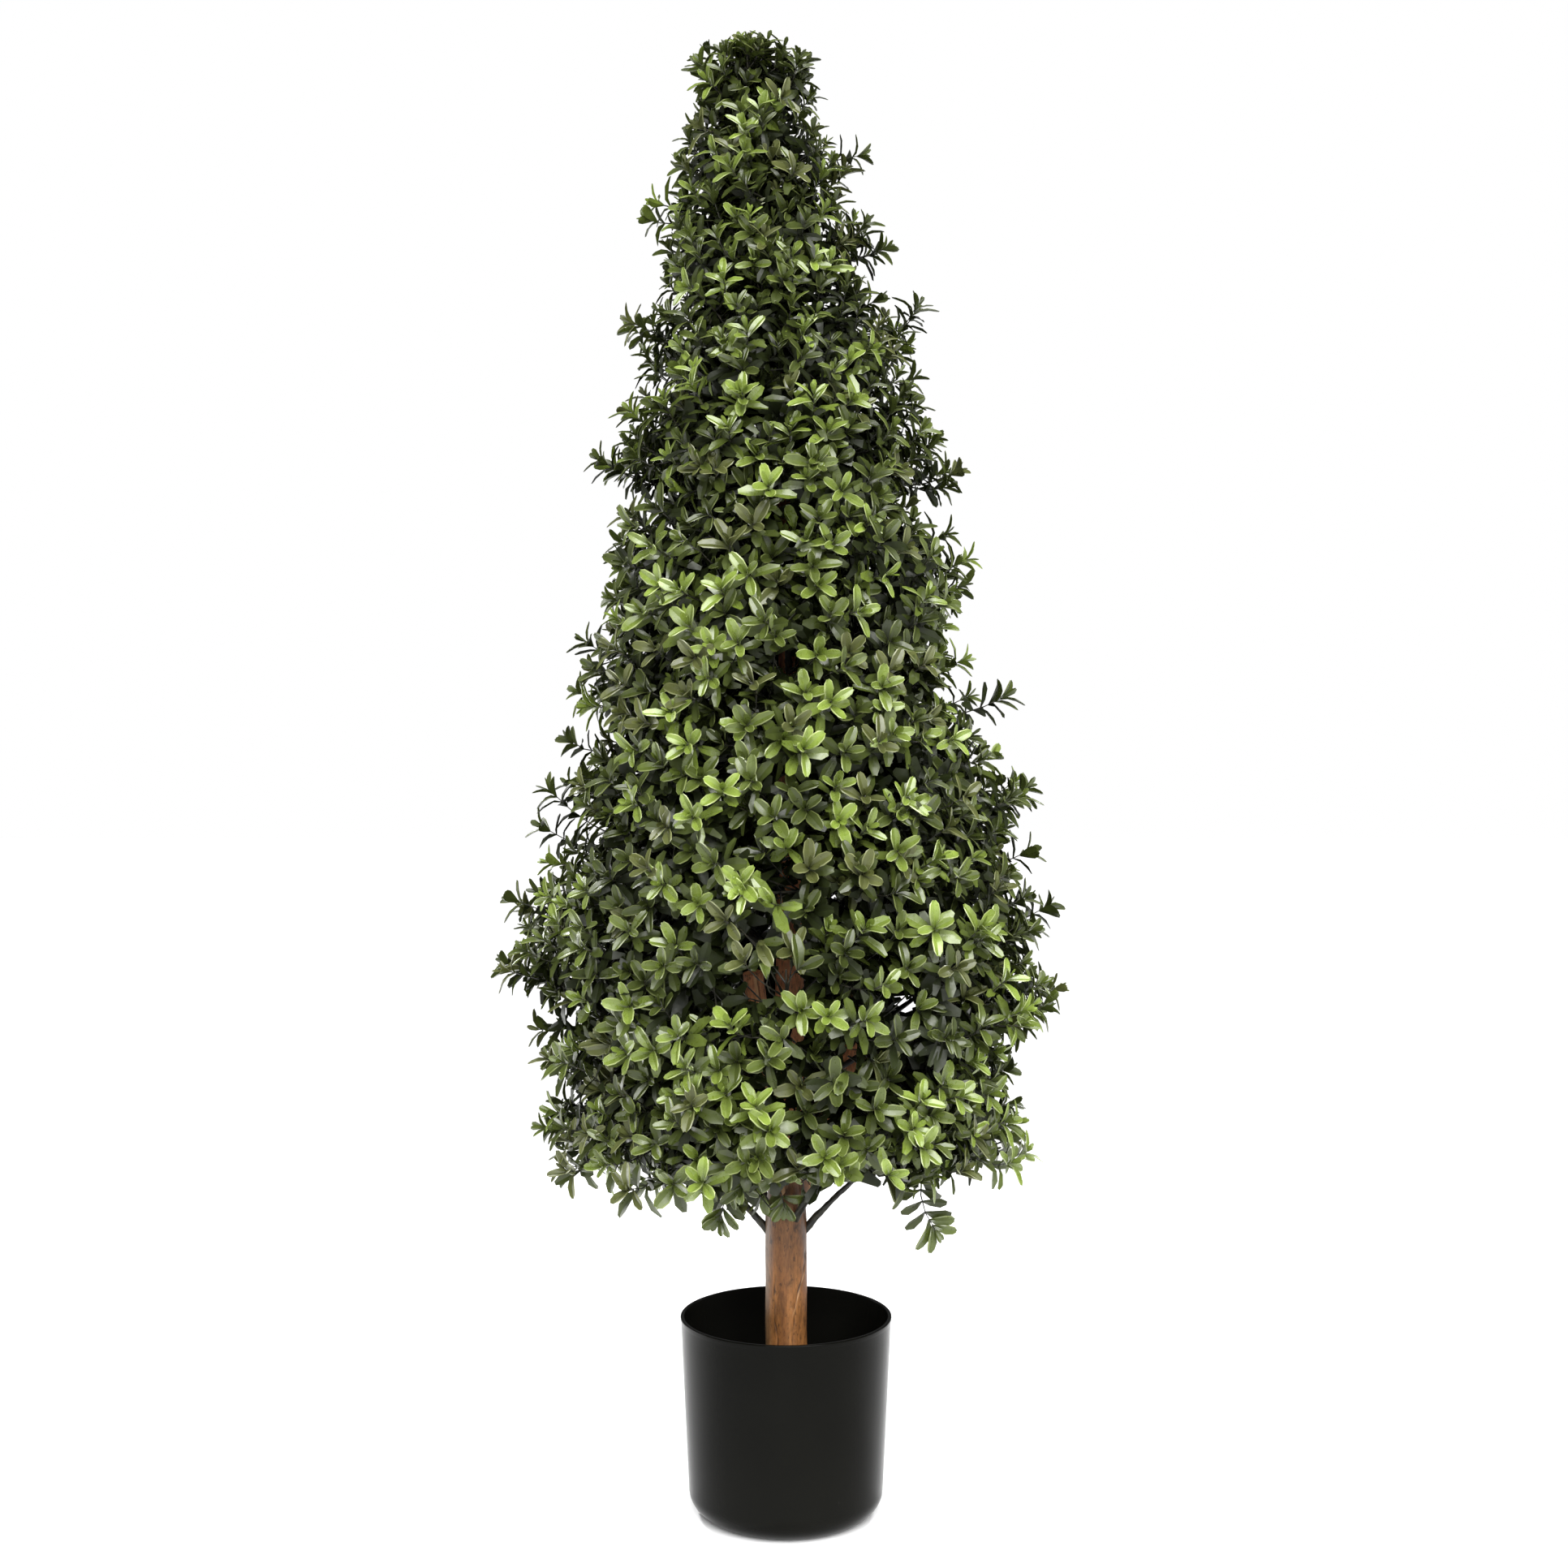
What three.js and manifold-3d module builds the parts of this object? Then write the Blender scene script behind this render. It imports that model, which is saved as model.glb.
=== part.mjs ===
// An artificial boxwood cone topiary, 1.2 m tall, in a plain round plastic pot.
// Millimetres, +Z up. The origin is the centre of the pot's flat underside, and -Y is the front.
import * as THREE from "three";
import { mergeVertices } from "three/addons/utils/BufferGeometryUtils.js";
import Module from "manifold-3d";

const wasm = await Module();
wasm.setup();

// The pot: a thin tapered shell with a small lip and a rounded foot.
const POT_HEIGHT = 160;
const POT_RIM_RADIUS = 86;
const POT_LIP = 1.8;
const POT_LIP_DEPTH = 6;
const POT_LIP_ROUND = 0.6;
const POT_FOOT_RADIUS = 79;
const POT_CORNER = 20;
const POT_WALL = 2.4;
const POT_FLOOR = 3;
const POT_SEGMENTS = 32;

// The cement that fills the lower half of the pot and holds the trunk in a blind socket.
const CEMENT_TOP = 78;
const CEMENT_EDGE = 3;
const CEMENT_SEGMENTS = 24;
const SOCKET_FLOOR = 12;
// The clearance between neighbouring pieces, and the detail that is smoothed away where solids are joined.
const FIT_GAP = 0.3;
const SLIVER = 0.05;

// The trunk: a sawn wooden pole that forks into a leader and two sawn limbs just under the crown.
const POLE_RADIUS = 17.2;
const FORK_HEIGHT = 250;
const FORK_SOFTNESS = 28;
const LEADER_RADIUS = 14;
const LEADER_TIP_RADIUS = 4.5;
const TRUNK_TOP = 1080;
const TRUNK_SIDES = 14;
const TRUNK_RINGS = 16;
// The leader's sideways drift above the fork, as a cubic of its share of the height.
const DRIFT_X = [16, -3, -37];
const DRIFT_Y = [30, -30, 0];
const LIMBS = [
  { name: "limb_left", azimuth: 240, reach: 52, top: 444, radius: 9 },
  { name: "limb_right", azimuth: 0, reach: 60, top: 385, radius: 10.5 },
];
const LIMB_TAPER = 0.94;
// Where the middle of a sawn limb starts, out from the trunk's axis and over the fork, and how far it bows out.
const LIMB_FOOT_REACH = 4;
const LIMB_FOOT_RISE = 2;
const LIMB_BOW = 5;

// The crown's outline: its radius over the height, out to the tips of the leaves.
const CROWN_LOW = 296;
const CROWN_LOW_RADIUS = 198;
const WIDEST_HEIGHT = 450;
const WIDEST_RADIUS = 221;
const SHOULDER_HEIGHT = 1165;
const SHOULDER_RADIUS = 50;
const OUTLINE_SWELL = 8;
const CROWN_TOP = 1200;
// The crown leans to the left above this height.
const LEAN_START = 750;
const LEAN = 0.072;

// Each tier of the crown: its foot on the outline, its number of masses, and of sprigs on each mass.
const TIERS = [
  { foot: CROWN_LOW, masses: 6, sprigs: 5 },
  { foot: 392, masses: 6, sprigs: 5 },
  { foot: 504, masses: 5, sprigs: 5 },
  { foot: 612, masses: 5, sprigs: 4 },
  { foot: 716, masses: 4, sprigs: 4 },
  { foot: 816, masses: 4, sprigs: 4 },
  { foot: 912, masses: 3, sprigs: 4 },
  { foot: 1004, masses: 3, sprigs: 3 },
];
const TOP_FOOT = 1092;
const TOP_SPRIGS = 9;
const TOP_DROP = 2;
const TOP_FIRST_SPRIG = 26;
const TOP_LIFTS = [10, 84];
// The surfaces between two tiers fall towards the trunk by this much a millimetre, less in the lowest tiers.
const TIER_SLOPE = 0.6;
const LOWEST_SLOPE = 0.12;
const SPACE_MARGIN = 0.5;
// Leaves may droop this far under the lowest tier, and those of the hanging sprigs down to a height.
const DROOP = 12;
const HANGING_LOW = 214;

// The dense middle of each mass: its depth under the outline, its thickness, which is at most a share of its
// outer reach, and its gap to the space's sides.
const CORE_DEPTH = 31;
const CORE_THICKNESS = 40;
const CORE_SHARE = 0.55;
const CORE_MARGIN = 2.5;
const TOP_CORE_RADIUS = 37;

// The sprigs of a mass stand in a zigzag between these shares of its height, with a little chance in their
// place, reach and lift in degrees.
const SPRIG_LEVEL_HIGH = 0.76;
const SPRIG_LEVEL_LOW = 0.25;
const SPRIG_LEVEL_LOWEST_TIER = 0.38;
const SPRIG_SIDES = 0.94;
const SPRIG_CHANCE = 0.1;
const SPRIG_REACH_CHANCE = 9;
const SPRIG_LIFTS = [8, 24];

// Boughs, stems, twigs and leaves. A leaf here stands for several real ones.
// A bough leaves the trunk under the fork, rises steeply and then flattens. The bend of each stem is at a share
// of its length, and raised.
const BOUGH_RADIUS = 3.6;
const BOUGH_END = 86;
const BOUGH_DROP = 42;
const BOUGH_BEND = 0.3;
const BOUGH_BEND_RISE = 32;
const STEM_BEND = 0.42;
const STEM_BEND_RISE = 8;
const TOP_STEM_BEND = 25;
const TOP_STEM_LENGTH = 62;
const STEM_RADIUS = 2.9;
const STEM_TIP_RADIUS = 2.3;
// How far into the core a stem reaches, and where on it the twigs start.
const STEM_SINK = 0.4;
const FIRST_TWIG = 0.8;
const TWIG_RADIUS = 2.4;
const TWIG_TIP_RADIUS = 1.6;
const LEAF_LENGTH = 50;
const LEAF_WIDTH = 26;
const LEAF_THICKNESS = 1.8;
const LEAF_SPREAD = 58;
const LEAF_ROOT = 3;
const LEAF_ROOM = 6;

// Sprigs that stand proud of the outline: azimuth in degrees, height, and extra reach. They keep this many
// degrees inside the sides of their mass.
const PROUD_INSIDE = 12;
const PROUD_SPRIGS = [
  { azimuth: 180, height: 441, extra: 17 },
  { azimuth: 180, height: 504, extra: 13 },
  { azimuth: 180, height: 632, extra: 10 },
  { azimuth: 180, height: 858, extra: 21 },
  { azimuth: 180, height: 965, extra: 17 },
  { azimuth: 180, height: 1063, extra: 20 },
  { azimuth: 0, height: 428, extra: 14 },
  { azimuth: 0, height: 499, extra: 11 },
  { azimuth: 0, height: 669, extra: 12 },
  { azimuth: 0, height: 852, extra: 26 },
  { azimuth: 0, height: 949, extra: 14 },
  { azimuth: 0, height: 1031, extra: 26 },
  { azimuth: 270, height: 470, extra: 10 },
  { azimuth: 90, height: 560, extra: 12 },
  { azimuth: 90, height: 880, extra: 14 },
];
// Sprigs that hang under the lowest tier: azimuth and lift of the tip in degrees, its reach and height.
const HANGING_SPRIGS = [
  { azimuth: -20, reach: 134, z: 221, lift: -50 },
  { azimuth: 228, reach: 84, z: 240, lift: -62 },
  { azimuth: 55, reach: 130, z: 250, lift: -45 },
  { azimuth: 125, reach: 120, z: 256, lift: -50 },
  { azimuth: 168, reach: 124, z: 276, lift: -40 },
  { azimuth: 284, reach: 128, z: 280, lift: -45 },
];

const { degToRad, lerp, clamp, smoothstep } = THREE.MathUtils;
const UP = new THREE.Vector3(0, 0, 1);
const vec = (x, y, z) => new THREE.Vector3(x, y, z);

// A small repeatable random number generator, from 0 to 1.
function randomFrom(seed) {
  let state = seed >>> 0;
  return () => {
    state = (state + 0x6d2b79f5) >>> 0;
    let t = Math.imul(state ^ (state >>> 15), 1 | state);
    t = (t + Math.imul(t ^ (t >>> 7), 61 | t)) ^ t;
    return ((t ^ (t >>> 14)) >>> 0) / 4294967296;
  };
}

// A solid for joining and cutting, from a closed geometry.
function solidOf(geometry) {
  const bare = geometry.clone();
  bare.deleteAttribute("normal");
  bare.deleteAttribute("uv");
  const merged = mergeVertices(bare, 1e-4);
  return new wasm.Manifold(
    new wasm.Mesh({
      numProp: 3,
      vertProperties: new Float32Array(merged.attributes.position.array),
      triVerts: new Uint32Array(merged.index.array),
    }),
  );
}

function geometryOf(solid) {
  const mesh = solid.getMesh();
  const position = new Float32Array(mesh.numVert * 3);
  for (let i = 0; i < mesh.numVert; i++) {
    const start = i * mesh.numProp;
    position.set(mesh.vertProperties.subarray(start, start + 3), i * 3);
  }
  return meshGeometry(position, mesh.triVerts);
}

function meshGeometry(position, index) {
  const geometry = new THREE.BufferGeometry();
  geometry.setAttribute("position", new THREE.Float32BufferAttribute(position, 3));
  geometry.setIndex(Array.from(index));
  return geometry;
}

// Joins solids into one, cuts it clear of the trunk, and drops any scrap that stays loose.
function fused(solids) {
  const whole = solids.reduce((sum, next) => sum.add(next)).asOriginal().simplify(SLIVER);
  return whole.subtract(trunkRoom).decompose().reduce((a, b) => (b.volume() > a.volume() ? b : a));
}

// Corners round each point of a path, on a section that doesn't twist.
function sectionCorners(points, radii, sides, roll = 0) {
  const position = [];
  const normal = vec(0, 0, 0);
  points.forEach((point, i) => {
    const before = points[Math.max(i - 1, 0)];
    const after = points[Math.min(i + 1, points.length - 1)];
    const along = after.clone().sub(before).normalize();
    if (i === 0) {
      normal.crossVectors(along, Math.abs(along.z) > 0.9 ? vec(1, 0, 0) : UP).applyAxisAngle(along, roll);
    }
    normal.addScaledVector(along, -normal.dot(along)).normalize();
    const side = vec(0, 0, 0).crossVectors(along, normal);
    for (let k = 0; k < sides; k++) {
      const turn = (2 * Math.PI * k) / sides;
      const corner = point.clone().addScaledVector(normal, radii[i] * Math.cos(turn));
      corner.addScaledVector(side, radii[i] * Math.sin(turn));
      position.push(corner.x, corner.y, corner.z);
    }
  });
  return position;
}

// The faces between the sections of a limb, and its two ends. leaves(i, k) may take the place of a side.
function sectionFaces(rings, sides, leaves = () => false) {
  const index = [];
  for (let i = 0; i < rings - 1; i++) {
    for (let k = 0; k < sides; k++) {
      const a = i * sides + k;
      const b = i * sides + ((k + 1) % sides);
      if (!leaves(i, k)) index.push(a, b, b + sides, a, b + sides, a + sides);
    }
  }
  const last = (rings - 1) * sides;
  for (let k = 1; k < sides - 1; k++) index.push(0, k + 1, k, last, last + k, last + k + 1);
  return index;
}

// A closed round limb with its own radius at each point.
function limb(points, radii, sides) {
  return meshGeometry(sectionCorners(points, radii, sides), sectionFaces(points.length, sides));
}

// A limb that tapers evenly along a curve.
function tapered(curve, steps, radius, tipRadius, sides) {
  const radii = Array.from({ length: steps + 1 }, (_, i) => lerp(radius, tipRadius, i / steps));
  return limb(curve.getPoints(steps), radii, sides);
}

// The leader's place over the height.
function trunkMiddle(z) {
  const t = clamp((z - FORK_HEIGHT) / (TRUNK_TOP - FORK_HEIGHT), 0, 1);
  const cubic = ([a, b, c]) => a * t + b * t * t + c * t * t * t;
  return vec(cubic(DRIFT_X), cubic(DRIFT_Y), z);
}

function trunkRadius(z) {
  const share = clamp((z - FORK_HEIGHT) / (TRUNK_TOP - FORK_HEIGHT), 0, 1);
  const leader = lerp(LEADER_RADIUS, LEADER_TIP_RADIUS, share);
  const forked = smoothstep(z, FORK_HEIGHT - FORK_SOFTNESS / 2, FORK_HEIGHT + FORK_SOFTNESS);
  return lerp(POLE_RADIUS, leader, forked);
}

function crownRadius(z) {
  if (z < WIDEST_HEIGHT) {
    const t = clamp((z - CROWN_LOW) / (WIDEST_HEIGHT - CROWN_LOW), 0, 1);
    return lerp(CROWN_LOW_RADIUS, WIDEST_RADIUS, t);
  }
  const t = (z - WIDEST_HEIGHT) / (SHOULDER_HEIGHT - WIDEST_HEIGHT);
  if (t < 1) return lerp(WIDEST_RADIUS, SHOULDER_RADIUS, t) + OUTLINE_SWELL * Math.sin(Math.PI * t);
  const cap = clamp((CROWN_TOP - z) / (CROWN_TOP - SHOULDER_HEIGHT), 0, 1);
  return SHOULDER_RADIUS * Math.sqrt(1 - (1 - cap) ** 2);
}

// A point at a distance from the middle of the crown.
function outFrom(azimuth, reach, z) {
  const lean = -LEAN * Math.max(z - LEAN_START, 0);
  return vec(lean + reach * Math.cos(azimuth), reach * Math.sin(azimuth), z);
}

function pot() {
  const profile = new THREE.Path();
  const lipFoot = POT_HEIGHT - POT_LIP_DEPTH;
  const wall = POT_RIM_RADIUS - POT_LIP;
  const corner = POT_FOOT_RADIUS - POT_CORNER;
  profile.moveTo(0, 0);
  profile.lineTo(corner, 0);
  profile.absarc(corner, POT_CORNER, POT_CORNER, -Math.PI / 2, 0, false);
  profile.lineTo(wall, lipFoot);
  profile.lineTo(POT_RIM_RADIUS, POT_HEIGHT - POT_LIP);
  profile.lineTo(POT_RIM_RADIUS - POT_LIP_ROUND, POT_HEIGHT);
  profile.lineTo(wall - POT_WALL + POT_LIP_ROUND, POT_HEIGHT);
  profile.lineTo(wall - POT_WALL, lipFoot);
  profile.lineTo(POT_FOOT_RADIUS - POT_WALL, POT_CORNER + POT_FLOOR - POT_WALL);
  profile.absarc(corner, POT_CORNER + POT_FLOOR - POT_WALL, POT_CORNER - POT_WALL, 0, -Math.PI / 2, true);
  profile.lineTo(0, POT_FLOOR);
  return new THREE.LatheGeometry(profile.getPoints(2), POT_SEGMENTS).rotateX(Math.PI / 2);
}

// The cement lies 0.3 mm inside the pot's flat-sided wall and floor.
function cement() {
  const rise = (CEMENT_TOP - POT_CORNER) / (POT_HEIGHT - POT_LIP_DEPTH - POT_CORNER);
  const flats = Math.cos(Math.PI / POT_SEGMENTS);
  const low = (POT_FOOT_RADIUS - POT_WALL) * flats - FIT_GAP;
  const high = (lerp(POT_FOOT_RADIUS, POT_RIM_RADIUS - POT_LIP, rise) - POT_WALL) * flats - FIT_GAP;
  const floor = POT_FLOOR + FIT_GAP;
  const socket = POLE_RADIUS + FIT_GAP;
  const profile = new THREE.Path();
  profile.moveTo(0, floor);
  profile.lineTo(low - POT_CORNER, floor);
  profile.lineTo(low - POT_CORNER * 0.3, floor + POT_CORNER * 0.22);
  profile.lineTo(low, POT_CORNER + POT_FLOOR);
  profile.lineTo(high, CEMENT_TOP - CEMENT_EDGE);
  profile.lineTo(high - CEMENT_EDGE, CEMENT_TOP);
  profile.lineTo(socket, CEMENT_TOP);
  profile.lineTo(socket, SOCKET_FLOOR);
  profile.lineTo(0, SOCKET_FLOOR);
  return new THREE.LatheGeometry(profile.getPoints(1), CEMENT_SEGMENTS).rotateX(Math.PI / 2);
}

// The trunk, or with some room round it the space that its neighbours keep out of.
function trunk(room = 0) {
  const low = SOCKET_FLOOR + FIT_GAP;
  const points = [];
  const radii = [];
  for (let i = 0; i <= TRUNK_RINGS; i++) {
    const z = lerp(low - room, TRUNK_TOP + room, i / TRUNK_RINGS);
    points.push(trunkMiddle(z).setZ(z));
    radii.push(trunkRadius(z) + room);
  }
  return limb(points, radii, TRUNK_SIDES);
}

// A sawn limb that leaves the fork.
function sawnLimb({ azimuth, reach, top, radius }) {
  const out = vec(Math.cos(degToRad(azimuth)), Math.sin(degToRad(azimuth)), 0);
  const foot = out.clone().multiplyScalar(LIMB_FOOT_REACH).setZ(FORK_HEIGHT + LIMB_FOOT_RISE);
  const tip = out.clone().multiplyScalar(reach).setZ(top);
  const bend = foot.clone().lerp(tip, 0.5).addScaledVector(out, LIMB_BOW);
  const curve = new THREE.QuadraticBezierCurve3(foot, bend, tip);
  return solidOf(tapered(curve, 4, radius, LIMB_TAPER * radius, 8));
}

// Whether a point is well clear of the trunk.
function clearOfTrunk(point) {
  const middle = trunkMiddle(point.z);
  return Math.hypot(point.x - middle.x, point.y - middle.y) > trunkRadius(point.z) + LEAF_ROOM;
}

// The slope of the surface at the foot of a tier.
function tierSlope(tier) {
  return lerp(LOWEST_SLOPE, TIER_SLOPE, Math.min(tier / 3, 1));
}

// The height of the surface at the foot of a tier, at a distance from the middle.
function tierSurface(tier, foot, reach) {
  return foot - tierSlope(tier) * (crownRadius(foot) - reach);
}

// The height that a mass's leaves stay above.
function leafFloor(mass, reach, hangs) {
  if (hangs) return HANGING_LOW;
  return tierSurface(mass.tier, mass.foot, reach) + (mass.tier === 0 ? -DROOP : SPACE_MARGIN);
}

// Whether a point is in a mass's own space, between its two sides and the surfaces under and over it.
function inSpace(mass, point, hangs) {
  const flat = point.clone().sub(outFrom(0, 0, point.z));
  const reach = flat.length();
  if (point.z < leafFloor(mass, reach, hangs)) return false;
  if (mass.top) return true;
  if (point.z > tierSurface(mass.tier + 1, mass.head, reach) - SPACE_MARGIN) return false;
  const turn = Math.abs(turnFrom(mass.azimuth, Math.atan2(flat.y, flat.x)));
  return turn < mass.half && reach * Math.sin(mass.half - turn) > SPACE_MARGIN;
}

// The signed angle from one azimuth to another.
function turnFrom(from, to) {
  return Math.atan2(Math.sin(to - from), Math.cos(to - from));
}

// The places of a mass's sprigs: azimuth, height and reach of each tip, in a zigzag over the mass's outer
// side, and the lift of each sprig's end. Those of the top mass wind up to the tip.
function sprigPlaces(mass, random) {
  const places = [];
  for (let i = 0; i < mass.sprigs; i++) {
    if (mass.top) {
      const level = i / (mass.sprigs - 1);
      const z = lerp(TOP_FOOT + TOP_FIRST_SPRIG, CROWN_TOP - TOP_DROP, level);
      const lift = lerp(...TOP_LIFTS, level ** 1.5);
      places.push({ azimuth: 2.4 * i + 0.5, z, reach: crownRadius(z), lift });
    } else {
      const across = -1 + (2 * i + 1) / mass.sprigs + SPRIG_CHANCE * (random() - 0.5);
      const azimuth = mass.azimuth + SPRIG_SIDES * across * mass.half;
      const low = mass.tier === 0 ? SPRIG_LEVEL_LOWEST_TIER : SPRIG_LEVEL_LOW;
      const level = (i % 2 ? SPRIG_LEVEL_HIGH : low) + SPRIG_CHANCE * (random() - 0.5);
      const z = lerp(mass.foot, mass.head, level);
      const reach = crownRadius(z) + SPRIG_REACH_CHANCE * (random() - 0.5);
      places.push({ azimuth, z, reach, lift: lerp(...SPRIG_LIFTS, random()) });
    }
  }
  return places;
}

// Moves a sprig to each proud place: the nearest one of the mass there, and well inside that mass's sides.
function standProud(masses) {
  for (const { azimuth, height, extra } of PROUD_SPRIGS) {
    const tier = masses.filter((mass) => mass.foot <= height && height < mass.head);
    const off = (mass) => Math.abs(turnFrom(mass.azimuth, degToRad(azimuth)));
    const mass = tier.reduce((a, b) => (off(b) < off(a) ? b : a));
    const within = mass.half - degToRad(PROUD_INSIDE);
    const turn = mass.azimuth + clamp(turnFrom(mass.azimuth, degToRad(azimuth)), -within, within);
    const tip = outFrom(turn, crownRadius(height), height);
    const far = (place) => outFrom(place.azimuth, place.reach, place.z).distanceTo(tip);
    const place = mass.places.reduce((a, b) => (far(b) < far(a) ? b : a));
    Object.assign(place, { azimuth: turn, z: height, reach: crownRadius(height) + extra });
  }
}

// Gives each hanging sprig to the mass that it hangs from.
function hangSprigs(masses) {
  for (const sprig of HANGING_SPRIGS) {
    const azimuth = degToRad(sprig.azimuth);
    const mass = masses.find(({ tier, azimuth: middle, half }) =>
      tier === 0 && Math.abs(turnFrom(middle, azimuth)) <= half);
    mass.places.push({ ...sprig, azimuth, hangs: true });
  }
}

// The distance from the crown's middle to a place in a mass's core: its inner side at 0, its outer at 1.
function coreReach(mass, share) {
  const outer = crownRadius((mass.foot + mass.head) / 2) - CORE_DEPTH;
  return lerp(outer - Math.min(CORE_THICKNESS, CORE_SHARE * outer), outer, share);
}

// A mass's stem, from the trunk out to the middle of the mass.
function stemCurve(mass) {
  if (mass.top) {
    const foot = trunkMiddle(TRUNK_TOP);
    const bend = foot.clone().setZ(TRUNK_TOP + TOP_STEM_BEND);
    return new THREE.QuadraticBezierCurve3(foot, bend, outFrom(0, 0, TRUNK_TOP + TOP_STEM_LENGTH));
  }
  const reach = coreReach(mass, STEM_SINK);
  const low = tierSurface(mass.tier, mass.foot, reach);
  const high = tierSurface(mass.tier + 1, mass.head, reach);
  const lowest = mass.tier === 0;
  const tip = outFrom(mass.azimuth, reach, (low + high) / 2);
  const root = trunkMiddle(lowest ? FORK_HEIGHT - BOUGH_DROP : tip.z - TIER_SLOPE * reach);
  const bend = root.clone().lerp(tip, lowest ? BOUGH_BEND : STEM_BEND);
  bend.z += lowest ? BOUGH_BEND_RISE : STEM_BEND_RISE;
  return new THREE.QuadraticBezierCurve3(root, bend, tip);
}

// The stretch of a curve between two shares of its length.
function stretch(curve, from, to) {
  const points = [0, 0.25, 0.5, 0.75, 1].map((share) => curve.getPointAt(lerp(from, to, share)));
  return new THREE.CatmullRomCurve3(points);
}

// The share of a stem's length at which its bough ends and its mass takes over.
function boughShare(curve) {
  let share = 0;
  while (Math.hypot(curve.getPointAt(share).x, curve.getPointAt(share).y) < BOUGH_END) share += 0.005;
  return share;
}

// A twig from a mass's stem out to a sprig's place. Its leaves reach on from its tip to the outline.
function twigCurve(stem, place, share) {
  const root = stem.getPoint(share);
  const lift = degToRad(place.lift);
  const away = vec(Math.cos(place.azimuth), Math.sin(place.azimuth), Math.tan(lift)).normalize();
  const rise = LEAF_LENGTH * Math.cos(degToRad(LEAF_SPREAD));
  const tip = outFrom(place.azimuth, place.reach, place.z).addScaledVector(away, -rise);
  const bend = tip.clone().addScaledVector(away, -0.4 * tip.distanceTo(root));
  return new THREE.QuadraticBezierCurve3(root, bend, tip);
}

// The corners of one leaf: its left and right side, the rib between them, and its tip.
function leafCorners(base, forward, up, size) {
  const side = vec(0, 0, 0).crossVectors(up, forward);
  const length = LEAF_LENGTH * size;
  const half = (LEAF_WIDTH * size) / 2;
  const at = (f, s, u) =>
    base.clone().addScaledVector(forward, f).addScaledVector(side, s).addScaledVector(up, u);
  return [
    at(0.55 * length, half, 0.1 * half),
    at(0.55 * length, -half, 0.1 * half),
    at(0.5 * length, 0, LEAF_THICKNESS),
    at(length, 0, -0.05 * length),
  ];
}

// A leaf's faces between its corners, from first on, and the quad of the twig's side that it grows out of.
function leafFaces(first, [lowRight, lowLeft, highLeft, highRight]) {
  const [left, right, rib, tip] = [first, first + 1, first + 2, first + 3];
  const upper = [highLeft, highRight, rib, highRight, right, rib, right, tip, rib, tip, left, rib];
  const lower = [lowRight, lowLeft, left, lowRight, left, right, right, left, tip];
  const edges = [left, highLeft, rib, lowLeft, highLeft, left, highRight, lowRight, right];
  return [...upper, ...lower, ...edges];
}

// A sprig: a square twig along a curve, with a cross of four leaves at its tip, turned by roll. A leaf that
// would leave the mass's space or touch the trunk is made smaller, and skipped if that isn't enough.
function sprig(mass, curve, roll, hangs) {
  const steps = 2;
  const points = curve.getPoints(steps);
  const forward = curve.getTangent(1);
  const tip = points[steps].clone();
  points[steps].addScaledVector(forward, -LEAF_ROOT);
  points.push(tip);
  const radii = points.map((_, i) => lerp(TWIG_RADIUS, TWIG_TIP_RADIUS, Math.min(i / steps, 1)));
  const position = sectionCorners(points, radii, 4, roll);
  const leaves = [];
  const spread = degToRad(LEAF_SPREAD);
  const growLeaf = (i, k) => {
    if (i < steps) return false;
    const quad = [4 * i + k, 4 * i + ((k + 1) % 4)];
    quad.push(quad[1] + 4, quad[0] + 4);
    const [a, b] = quad.slice(2).map((corner) => vec(...position.slice(3 * corner, 3 * corner + 3)));
    const out = a.add(b).multiplyScalar(0.5).sub(tip).normalize();
    const way = forward.clone().multiplyScalar(Math.cos(spread)).addScaledVector(out, Math.sin(spread));
    const up = forward.clone().multiplyScalar(Math.sin(spread)).addScaledVector(out, -Math.cos(spread));
    for (const size of [1, 0.85, 0.7]) {
      const corners = leafCorners(tip, way, up, size);
      if (corners.every((p) => inSpace(mass, p, hangs) && clearOfTrunk(p))) {
        leaves.push(...leafFaces(position.length / 3, quad));
        corners.forEach((p) => position.push(p.x, p.y, p.z));
        return true;
      }
    }
    return false;
  };
  const twig = sectionFaces(points.length, 4, growLeaf);
  return solidOf(meshGeometry(position, [...twig, ...leaves]));
}

// The dense middle of a mass: a rounded block that fits its space, clear of the trunk.
function core(mass, random) {
  const block = new THREE.BoxGeometry(2, 2, 2, 2, 2, 2);
  const corners = block.attributes.position;
  const pulls = new Map();
  for (let i = 0; i < corners.count; i++) {
    const [u, v, w] = vec(0, 0, 0).fromBufferAttribute(corners, i).toArray();
    const key = [u, v, w].join();
    const bulge = [1, 1, 0.95, 0.84][Math.abs(u) + Math.abs(v) + Math.abs(w)];
    if (!pulls.has(key)) pulls.set(key, bulge * (0.94 + 0.06 * random()));
    const pull = pulls.get(key);
    const corner = (mass.top ? topCorner : sectorCorner)(mass, pull * u, pull * v, pull * w);
    corners.setXYZ(i, corner.x, corner.y, corner.z);
  }
  return solidOf(block);
}

// A corner of the top mass's core, which narrows upwards.
function topCorner(mass, u, v, w) {
  const reach = lerp(TOP_CORE_RADIUS, 0.75 * TOP_CORE_RADIUS, 0.5 + 0.5 * w);
  const low = tierSurface(mass.tier, mass.foot, TOP_CORE_RADIUS) + CORE_MARGIN;
  const z = lerp(low, CROWN_TOP - CORE_DEPTH, 0.5 + 0.5 * w);
  return outFrom(0, 0, z).add(vec(reach * u, reach * v, 0));
}

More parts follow.
